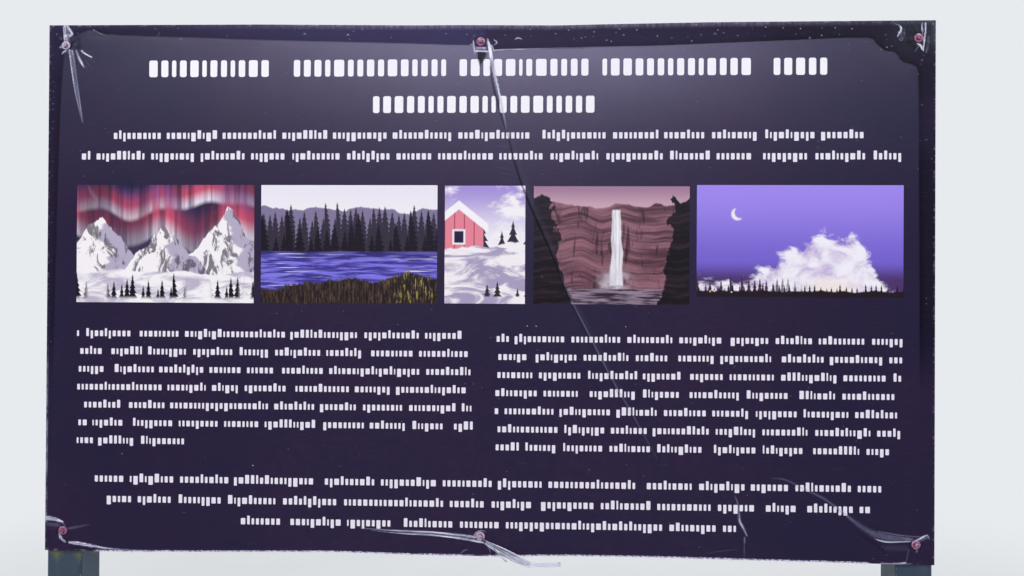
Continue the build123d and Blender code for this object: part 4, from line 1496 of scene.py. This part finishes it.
def grow(name, lines, tree, **settings):
    """Runs a geometry tree on bare lines, and gives what it makes as a plain mesh piece."""
    source = trace(name + "_lines", lines)
    modifier = source.modifiers.new(tree.name, "NODES")
    modifier.node_group = tree
    for item in tree.interface.items_tree:
        if item.in_out == "INPUT" and item.name.lower() in settings:
            modifier[item.identifier] = settings[item.name.lower()]
    bpy.context.view_layer.update()
    mesh = bpy.data.meshes.new_from_object(source.evaluated_get(bpy.context.evaluated_depsgraph_get()))
    mesh.name = name
    source.modifiers.remove(modifier)
    bpy.data.objects.remove(source)
    print(name + ":", len(mesh.polygons), "faces")
    return new_object(name, mesh)


def new_growth(name, sizes):
    """A geometry tree on bare lines with named sizes: its net, inputs, outlet and resampled curve."""
    kinds = {
        "Lines": "geometry", "Material": "material", "Spacing": "value", **{size: "value" for size in sizes}
    }
    net, given, out = new_group(name, kinds, {"Piece": "geometry"}, "GeometryNodeTree")
    curve = net.add("GeometryNodeMeshToCurve", {"Mesh": given["Lines"]}).outputs[0]
    inputs = {"Curve": curve, "Length": given["Spacing"]}
    return net, given, out, net.add("GeometryNodeResampleCurve", inputs, mode="LENGTH").outputs[0]


def end_growth(net, given, out, shape):
    """The tree's end: real, smooth faces in the given material."""
    real = net.add("GeometryNodeRealizeInstances", {"Geometry": shape}).outputs[0]
    smooth = net.add("GeometryNodeSetShadeSmooth", {"Geometry": real}).outputs[0]
    done = net.add("GeometryNodeSetMaterial", {"Geometry": smooth, "Material": given["Material"]}).outputs[0]
    net.feed(out["Piece"], done)
    return net.tree


def build_weld_bead():
    """A rippled, slightly uneven bead along each line."""
    net, given, out, curve = new_growth("weld_bead", ["Radius", "Ripple"])
    length = net.add("GeometryNodeSplineParameter").outputs["Length"]
    turn = net.over(net.product(length, math.pi), given["Ripple"])
    ripple = net.size_of(net.math("SINE", turn))
    uneven = net.add("ShaderNodeTexNoise", {"Scale": 160, "Detail": 2}).outputs[0]
    size = net.total(net.product(ripple, 0.2), net.product(uneven, 0.5), 0.6)
    profile = net.add(
        "GeometryNodeCurvePrimitiveCircle", {"Resolution": 8, "Radius": given["Radius"]}
    ).outputs[0]
    inputs = {"Curve": curve, "Profile Curve": profile, "Scale": size, "Fill Caps": True}
    return end_growth(net, given, out, net.add("GeometryNodeCurveToMesh", inputs).outputs[0])


def build_frayed_threads():
    """Threads of uneven length that hang from each line."""
    net, given, out, curve = new_growth("frayed_threads", ["Longest", "Thickness"])
    long = given["Longest"]
    bend = {
        "Resolution": 4,
        "Start": (0, 0, 0),
        "Middle": net.join(0, net.product(long, -0.2), net.product(long, -0.5)),
        "End": net.join(net.product(long, 0.25), net.product(long, 0.05), net.product(long, -1)),
    }
    thread = net.add("GeometryNodeCurveQuadraticBezier", bend).outputs[0]
    profile = net.add(
        "GeometryNodeCurvePrimitiveCircle", {"Resolution": 3, "Radius": given["Thickness"]}
    ).outputs[0]
    inputs = {"Curve": thread, "Profile Curve": profile, "Fill Caps": True}
    thread = net.add("GeometryNodeCurveToMesh", inputs).outputs[0]
    turn = {0: (-0.5, -0.4, -3.1), 1: (0.5, 0.4, 3.1), 8: 3}
    turn = net.add("FunctionNodeRandomValue", turn, data_type="FLOAT_VECTOR").outputs[0]
    turn = net.add("FunctionNodeEulerToRotation", {0: turn}).outputs[0]
    size = net.add("FunctionNodeRandomValue", {2: 0.35, 3: 1, 8: 5}, data_type="FLOAT").outputs[1]
    inputs = {
        "Points": curve, "Instance": thread, "Rotation": turn,
        "Scale": net.join(1, 1, net.product(size, size, size)),
    }
    return end_growth(net, given, out, net.add("GeometryNodeInstanceOnPoints", inputs).outputs[0])


FRAY_STEP = 5
THREAD_SOIL = (0.30, 0.26, 0.42)


def frayed_edge():
    """The stretches of the cloth's lower edge that are frayed, as lines."""
    lines = []
    for left, right in TORN_STRETCHES:
        x = np.arange(left, right, FRAY_STEP, float)
        z = np.full(len(x), -BOARD_HEIGHT / 2)
        height = cloth_shape(x, z)[0]
        drop = z + edge_shift(x, z)
        y = SHEET_FRONT - height * MM + CLOTH_THICKNESS / 2
        lines.append((np.stack([BOARD_X + x * MM, y, BOARD_Z + drop * MM], 1).tolist(), False))
    return lines


def thread_finish():
    """The white threads of the cloth's core."""
    net = new_material("core_threads")
    soil = net.noise(net.position(), 30, detail=3)
    colour = net.mix(net.rise(soil, 0.4, 0.65), THREAD_SOIL, CLOTH_CORE)
    return net.coat(base_color=colour, roughness=0.8)


# Weld beads

POST_HALF = (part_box("left_post")[1].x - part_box("left_post")[0].x) / 2
POST_CORNER = 6 * MM
TUBE_CORNER = 5 * MM
BEAD_START = 3 * MM
RIB_NOTCH = 12 * MM
RIB_TOE = 15 * MM
RAILS = ("top_rail", "middle_rail", "bottom_rail")
STUDS = [f"{bay}_{side}_stud" for bay in ("lower", "upper") for side in SIDES]

# place of a rib on its post, and its direction away from it
RIBS = {"outer": (1, 0), "inner": (-1, 0), "front": (0, -1), "rear": (0, 1)}


def bead_round_end(node, run, level):
    """A line round a tube's end, from the panel over its back to the panel again. run is the tube's axis."""
    low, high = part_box(node)
    other = 2 - run
    top, foot, back = high[other], low[other], high.y
    line = []
    for y, across in [
        (low.y + BEAD_START, top), (back - TUBE_CORNER, top), (back, top - TUBE_CORNER),
        (back, foot + TUBE_CORNER), (back - TUBE_CORNER, foot), (low.y + BEAD_START, foot),
    ]:
        point = Vector((0, y, 0))
        point[run], point[other] = level, across
        line.append(tuple(point))
    return line, False


def frame_beads():
    """The lines of the beads that join rails to posts and studs to rails."""
    lines = []
    for axis, nodes in ((0, RAILS), (2, STUDS)):
        for node in nodes:
            lines += [bead_round_end(node, axis, corner[axis]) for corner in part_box(node)]
    return lines


def foot_beads():
    """The lines of the beads round each post's foot and on both sides of its ribs."""
    lines = []
    for side in SIDES:
        post = middle(f"{side}_post")
        ring = []
        for quarter in range(4):
            for part in range(4):
                angle = (quarter + part / 3) * math.pi / 2
                corner = [math.copysign(POST_HALF - POST_CORNER, f(quarter * math.pi / 2 + math.pi / 4))
                          for f in (math.cos, math.sin)]
                spot = Vector(corner) + POST_CORNER * Vector((math.cos(angle), math.sin(angle)))
                ring.append((post.x + spot.x, post.y + spot.y, PLATE_TOP))
        lines.append((ring, True))
        outwards = math.copysign(1, post.x)
        for place, (out, back) in RIBS.items():
            low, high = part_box(f"{side}_{place}_rib")
            away = Vector((outwards * out, back, 0))
            aside = Vector((-away.y, away.x, 0)) * min(high.x - low.x, high.y - low.y) / 2
            end = max(high.x - low.x, high.y - low.y) + POST_HALF
            for sign in (1, -1):
                base = Vector((post.x, post.y, 0)) + sign * aside
                upright = [
                    base + away * POST_HALF + Vector((0, 0, z)) for z in (PLATE_TOP + RIB_NOTCH, high.z)
                ]
                flat = [
                    base + away * reach + Vector((0, 0, PLATE_TOP)) for reach in (POST_HALF + RIB_NOTCH, end)
                ]
                lines += [([tuple(point) for point in line], False) for line in (upright, flat)]
    return lines


# Weathered steel, panel, caps, washers and screws

PAINT = (0.034, 0.056, 0.092)
PAINT_DARK = (0.026, 0.044, 0.074)
PAINT_CHALK = (0.075, 0.098, 0.13)
PRIMER = (0.30, 0.29, 0.27)
RUST = (0.24, 0.085, 0.030)
RUST_DARK = (0.085, 0.032, 0.018)
RUST_RUN = (0.13, 0.065, 0.035)
ALGAE = (0.115, 0.125, 0.045)
DUST = (0.30, 0.27, 0.22)
FAR_OFF = 1000


def build_edge_distance():
    """How far a place on a boxy piece is from its nearest edge. Slope is the distance from a fourth face."""
    net, given, out = new_group(
        "edge_distance", {"Middle": "vector", "Half": "vector", "Slope": "value"}, {"Edge": "value"}
    )
    away = net.vector("ABSOLUTE", net.vector("SUBTRACT", net.position(), given["Middle"]))
    a, b, c = net.split(net.vector("SUBTRACT", given["Half"], away))
    d = given["Slope"]
    lows = net.most(net.least(a, b), net.least(c, d))
    highs = net.least(net.most(a, b), net.most(c, d))
    net.feed(out["Edge"], net.over(net.least(lows, highs), MM))
    return net.tree


def build_worn_paint():
    """Blue-grey paint, chipped to primer and rust at the edges, stained at seams and dusty near the ground.
    Edge, seam, height and damp are the distances from an edge, a seam, the ground and a damp spot, in mm."""
    net, given, out = new_group(
        "worn_paint",
        {"Edge": "value", "Seam": "value", "Height": "value", "Damp": "value", "Seed": "value"},
        {"Colour": "colour", "Roughness": "value", "Metallic": "value", "Relief": "value"},
    )
    where = net.vector("ADD", net.position(), net.join(given["Seed"], given["Seed"], given["Seed"]))
    drift = net.noise(where, 3.5, detail=4, rough=0.6)
    colour = net.mix(net.rise(drift, 0.3, 0.7), PAINT_DARK, PAINT)
    chalk = net.noise(net.vector("MULTIPLY", where, (24, 24, 5)), 1, detail=4, rough=0.65)
    colour = net.mix(net.rise(chalk, 0.48, 0.78, 0, 0.35), colour, PAINT_CHALK)

    # Chips along the edges: a rim of primer round bare, rusted steel
    grit = net.noise(where, 150, detail=5, rough=0.65)
    worn = net.total(
        grit, net.rise(given["Edge"], 5, 0, 0, 0.2),
        net.rise(net.noise(where, 8, detail=2), 0.6, 0.75, 0, 0.06),
    )
    chip = net.rise(worn, 0.69, 0.71)
    bare = net.rise(worn, 0.73, 0.76)
    rust = net.mix(net.rise(net.noise(where, 330, detail=3), 0.4, 0.62), RUST_DARK, RUST)
    colour = net.mix(chip, colour, PRIMER)
    colour = net.mix(bare, colour, rust)

    # Rust at the seams and in thin runs, algae under the wet edge, dust on what faces up and near the ground
    blotches = net.noise(where, 45, detail=4, rough=0.65)
    stain = net.product(net.rise(given["Seam"], 18, 0), net.rise(blotches, 0.42, 0.62), 0.7)
    colour = net.mix(stain, colour, rust)
    runs = net.noise(net.vector("MULTIPLY", where, (110, 110, 3)), 1, detail=3)
    runs = net.product(net.rise(runs, 0.58, 0.74), net.rise(net.noise(where, 2.3), 0.45, 0.65), 0.4)
    colour = net.mix(runs, colour, RUST_RUN)
    algae = net.product(net.rise(given["Damp"], 44, 4), net.rise(blotches, 0.30, 0.52, 0.15, 1))
    colour = net.mix(algae, colour, ALGAE)
    dusty = net.product(net.rise(given["Height"], 320, 0), net.rise(blotches, 0.35, 0.62), 0.5)
    dusty = net.most(dusty, net.product(net.facing_up(), net.rise(blotches, 0.30, 0.55), 0.6))
    colour = net.mix(dusty, colour, DUST)
    net.feed(out["Colour"], colour)

    matt = net.most(net.most(chip, stain), dusty)
    net.feed(out["Roughness"], net.blend(matt, net.scaled(drift, 0.2, 0.32), 0.85))
    net.feed(
        out["Metallic"],
        net.product(bare, net.rise(given["Edge"], 1.5, 0.4), net.rise(blotches, 0.5, 0.6), 0.7),
    )
    peel = net.noise(where, 420, detail=1)
    net.feed(out["Relief"], net.minus(net.product(peel, 0.25), chip))
    return net.tree


def dress(node, material):
    """Gives a CAD node its finish."""
    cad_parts[node].material_slots[0].material = material


def worn_paint(name, seed, edge=FAR_OFF, seam=None, damp=None, box=None, slope=None):
    """A piece's worn paint. seam, damp and slope are functions of the net and x, y, z. box is its corners."""
    net = new_material(name)
    x, y, z = net.split(net.position())
    if box is not None:
        low, high = box
        cut = FAR_OFF if slope is None else slope(net, x, y, z)
        edge = net.use(EDGE_DISTANCE, middle=(low + high) / 2, half=(high - low) / 2, slope=cut)["Edge"]
    look = net.use(
        WORN_PAINT,
        edge=edge,
        seam=seam(net, x, y, z) if callable(seam) else seam,
        height=net.over(z, MM),
        damp=FAR_OFF if damp is None else damp(net, x, y, z),
        seed=seed,
    )
    return net.coat(
        base_color=look["Colour"], roughness=look["Roughness"], metallic=look["Metallic"],
        normal=net.bump(look["Relief"], 0.25 * MM, 0.7), specular_ior_level=0.3,
    )


def paint_steel():
    """Worn paint on every steel node, with its own wear and stains."""
    seed = 0
    for side in SIDES:
        post = middle(f"{side}_post")

        def off_plate(net, x, y, z):
            return net.over(net.minus(z, PLATE_TOP), MM)

        def off_post(net, x, y, z, post=post):
            reach = net.most(net.apart(x, post.x), net.apart(y, post.y))
            return net.over(net.minus(reach, POST_HALF), MM)

        node = f"{side}_post"
        damp = by_damp_spots if side == "left" else None
        dress(node, worn_paint(node + "_paint", seed, seam=off_plate, damp=damp, box=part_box(node)))
        node = f"{side}_base_plate"
        dress(node, worn_paint(node + "_paint", seed + 1, seam=off_post, box=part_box(node)))
        for place, (out, back) in RIBS.items():
            node = f"{side}_{place}_rib"
            seed += 2
            slope = rib_slope(node, post)
            dress(node, worn_paint(node + "_paint", seed, seam=off_post, box=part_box(node), slope=slope))
        seed += 3
    for axis, nodes in ((0, RAILS), (2, STUDS)):
        for node in nodes:
            low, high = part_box(node)

            def off_ends(net, *place, axis=axis, low=low, high=high):
                gap = net.apart(place[axis], (low[axis] + high[axis]) / 2)
                return net.over(net.minus((high[axis] - low[axis]) / 2, gap), MM)

            seed += 2
            dress(node, worn_paint(node + "_paint", seed, seam=off_ends, box=(low, high)))


DAMP_SPOTS = (24, 76)


def by_damp_spots(net, x, y, z):
    """How far a place is from the damp spots under the board's lower edge, on the left post's front."""
    post_low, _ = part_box("left_post")
    level = net.apart(z, SHEET_LOW.z)
    aside = net.least(*(net.apart(x, post_low.x + spot * MM) for spot in DAMP_SPOTS))
    behind = net.minus(y, post_low.y)
    return net.over(net.total(level, net.product(aside, 1.6), net.product(behind, 2)), MM)


def rib_slope(node, post):
    """How far a place on a rib lies inside the rib's sloping side."""
    low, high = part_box(node)
    end = max(high.x - low.x, high.y - low.y) + POST_HALF
    top, toe = Vector((POST_HALF + RIB_TOE, high.z)), Vector((end, PLATE_TOP + RIB_TOE))
    run = (toe - top).normalized()

    def slope(net, x, y, z):
        out = net.most(net.apart(x, post.x), net.apart(y, post.y))
        inside = net.minus(net.product(out, run.y), net.product(z, run.x))
        return net.total(inside, run.x * top.y - run.y * top.x)

    return slope


WASHER_BRIGHT = (0.42, 0.135, 0.29)
WASHER_SHADE = (0.20, 0.048, 0.115)
WASHER_RING = (0.070, 0.016, 0.030)
WASHER_FILM = (0.58, 0.50, 0.68)
ZINC = (0.34, 0.32, 0.32)
HEXAGON_REACH = 4.3
CAP_BLACK, CAP_GREYED = (0.018, 0.018, 0.020), (0.045, 0.045, 0.048)
PANEL_GREY, PANEL_PALE = (0.40, 0.41, 0.42), (0.50, 0.51, 0.52)
BRUSH_SHADE, WATER_STAIN, SCRATCH = (0.30, 0.31, 0.32), (0.20, 0.18, 0.15), (0.62, 0.63, 0.64)
# How milky each washer has turned
FILM_SHARES = dict(zip(SCREW_CORNERS, (1, 0.3, 0.2, 0.15, 0.8, 0.3)))


def build_washer_rubber():
    """Faded red rubber in lit and painted-shade blotches, darker round the screw, milky where the sun has
    eaten it and lighter at the top as a painted sky reflection.
    """
    net, given, out = new_group(
        "washer_rubber", {"Middle": "vector", "Film": "value"}, {
            "Colour": "colour", "Roughness": "value", "Relief": "value"
        }
    )
    x, _, z = net.split(net.vector("SUBTRACT", net.position(), given["Middle"]))
    gap = net.over(net.hypot(x, z), MM)
    grime_and_shade = net.noise(net.position(), 260, detail=4, rough=0.6)
    # Lit and painted-shade copies of the rubber, blotched by noise
    colour = net.mix(net.rise(grime_and_shade, 0.36, 0.60), WASHER_SHADE, WASHER_BRIGHT)
    film = net.noise(net.position(), 150, detail=4, rough=0.7)
    # Painted sky reflection: the milky film is lighter towards the top
    above = net.rise(z, -6 * MM, 9 * MM, -0.05, 0.08)
    film = net.rise(net.total(film, net.scaled(given["Film"], 0.36, -0.18), above), 0.46, 0.58, 0, 0.85)
    colour = net.mix(film, colour, WASHER_FILM)
    # Darker rings round the screw's flange, at the rim and in the middle
    ring = net.product(net.rise(gap, 6.6, 5.7), net.rise(gap, 4.6, 5.3))
    ring = net.most(ring, net.rise(gap, 9.0, 9.9, 0, 0.6))
    ring = net.product(net.most(ring, net.rise(gap, 2.4, 1.3)), net.rise(grime_and_shade, 0.68, 0.42))
    colour = net.mix(ring, colour, WASHER_RING)
    net.feed(out["Colour"], colour)
    net.feed(out["Roughness"], net.scaled(grime_and_shade, 0.35, 0.42))
    net.feed(out["Relief"], grime_and_shade)
    return net.tree


def dress_screw(place, rubber):
    """A screw in faded red paint, worn to zinc and rust along its hexagon."""
    net = new_material(place + "_head")
    look = net.use(rubber, middle=middle(f"{place}_washer"), film=FILM_SHARES[place])
    x, _, z = net.split(net.vector("SUBTRACT", net.position(), middle(f"{place}_washer")))
    gap = net.over(net.hypot(x, z), MM)
    crystals = net.noise(net.position(), 600, detail=4, rough=0.65)
    bare = net.rise(
        net.total(crystals, net.rise(net.apart(gap, HEXAGON_REACH), 0.8, 0.1, 0, 0.14)), 0.60, 0.64
    )
    zinc = net.mix(net.rise(crystals, 0.42, 0.58), ZINC, RUST_DARK)
    dress(f"{place}_screw", net.coat(
        base_color=net.mix(bare, look["Colour"], zinc),
        metallic=net.product(bare, net.rise(crystals, 0.56, 0.46, 0, 0.8)),
        roughness=look["Roughness"], normal=net.bump(crystals, 0.08 * MM, 0.6),
    ))


def cap_finish():
    """Black grained plastic, greyed by the sun, with dust lying on top."""
    net = new_material("cap_grain")
    grain = net.noise(net.position(), 800, detail=2)
    cloud = net.noise(net.position(), 26, detail=4, rough=0.6)
    colour = net.mix(net.rise(cloud, 0.35, 0.68), CAP_BLACK, CAP_GREYED)
    dusty = net.product(net.facing_up(), net.rise(cloud, 0.36, 0.60), 0.55)
    return net.coat(
        base_color=net.mix(dusty, colour, DUST), roughness=net.scaled(dusty, 0.3, 0.55),
        normal=net.bump(grain, 0.12 * MM, 0.6),
    )


def panel_finish():
    """The panel's grey coat, with fine brush lines, scratches and water stains."""
    net = new_material("panel_coat")
    where = net.position()
    brushed = net.noise(net.position((3, 3, 900)), 1, detail=3, rough=0.6)
    cloud = net.noise(where, 3.2, detail=5, rough=0.6)
    colour = net.mix(net.rise(cloud, 0.35, 0.65), PANEL_GREY, PANEL_PALE)
    colour = net.mix(net.rise(brushed, 0.40, 0.65, 0, 0.25), colour, BRUSH_SHADE)
    stains = net.noise(net.position((40, 40, 2.2)), 1, detail=4, rough=0.6)
    colour = net.mix(net.rise(stains, 0.55, 0.75, 0, 0.35), colour, WATER_STAIN)
    distance, chance = net.cells(net.position((60, 60, 4)), 1)
    scratch = net.product(net.rise(distance, 0.05, 0.02), net.rise(chance[0], 0.8, 0.85), 0.5)
    colour = net.mix(scratch, colour, SCRATCH)
    return net.coat(
        base_color=colour, metallic=net.scaled(scratch, 0.6, 0.25), roughness=net.scaled(cloud, 0.25, 0.38),
        normal=net.bump(brushed, 0.05 * MM, 0.5),
    )


def dress_fastenings():
    """Finishes of the washers, screws, caps and the panel."""
    rubber = build_washer_rubber()
    for place in SCREW_CORNERS:
        net = new_material(place + "_rubber")
        look = net.use(rubber, middle=middle(f"{place}_washer"), film=FILM_SHARES[place])
        normal = net.bump(look["Relief"], 0.2 * MM, 0.6)
        dress(
            f"{place}_washer",
            net.coat(base_color=look["Colour"], roughness=look["Roughness"], normal=normal),
        )
        dress_screw(place, rubber)
    black = cap_finish()
    for side in SIDES:
        dress(f"{side}_post_cap", black)
    dress("backing_panel", panel_finish())


# The finished object

WEATHER_AND_LIGHT_ON_PRINT = build_weathered_print()
VIOLET_GROUND = build_ground_print()
LINES_OF_BARS = build_line_of_bars()
EDGE_DISTANCE = build_edge_distance()
WORN_PAINT = build_worn_paint()

place_camera()
light_stage()
lay_floor()
paint_steel()
dress_fastenings()

cloth = make_cloth(print_regions(), plain_ground(), cloth_back())
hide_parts("print_sheet")
strip = make_loose_strip(strip_coating())
threads = {"spacing": 2.6 * MM, "longest": 6 * MM, "thickness": 0.14 * MM, "material": thread_finish()}
fringe = grow("edge_fringe", frayed_edge(), build_frayed_threads(), **threads)
beads = {"spacing": 1.2 * MM, "radius": 3.4 * MM, "ripple": 3.6 * MM}
bead_tree = build_weld_bead()
frame_welds = grow(
    "frame_welds", frame_beads(), bead_tree, material=worn_paint("frame_weld_paint", 41, 4, 3), **beads
)
foot_welds = grow(
    "foot_welds", foot_beads(), bead_tree, material=worn_paint("foot_weld_paint", 43, 4, 3), **beads
)

for piece, slot in [
    (cloth, "print_sheet"), (strip, "print_sheet"), (fringe, "print_sheet"),
    (frame_welds, "frame_paint"), (foot_welds, "foot_paint"),
]:
    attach(piece, "root")

bpy.context.scene.view_settings.view_transform = "Standard"
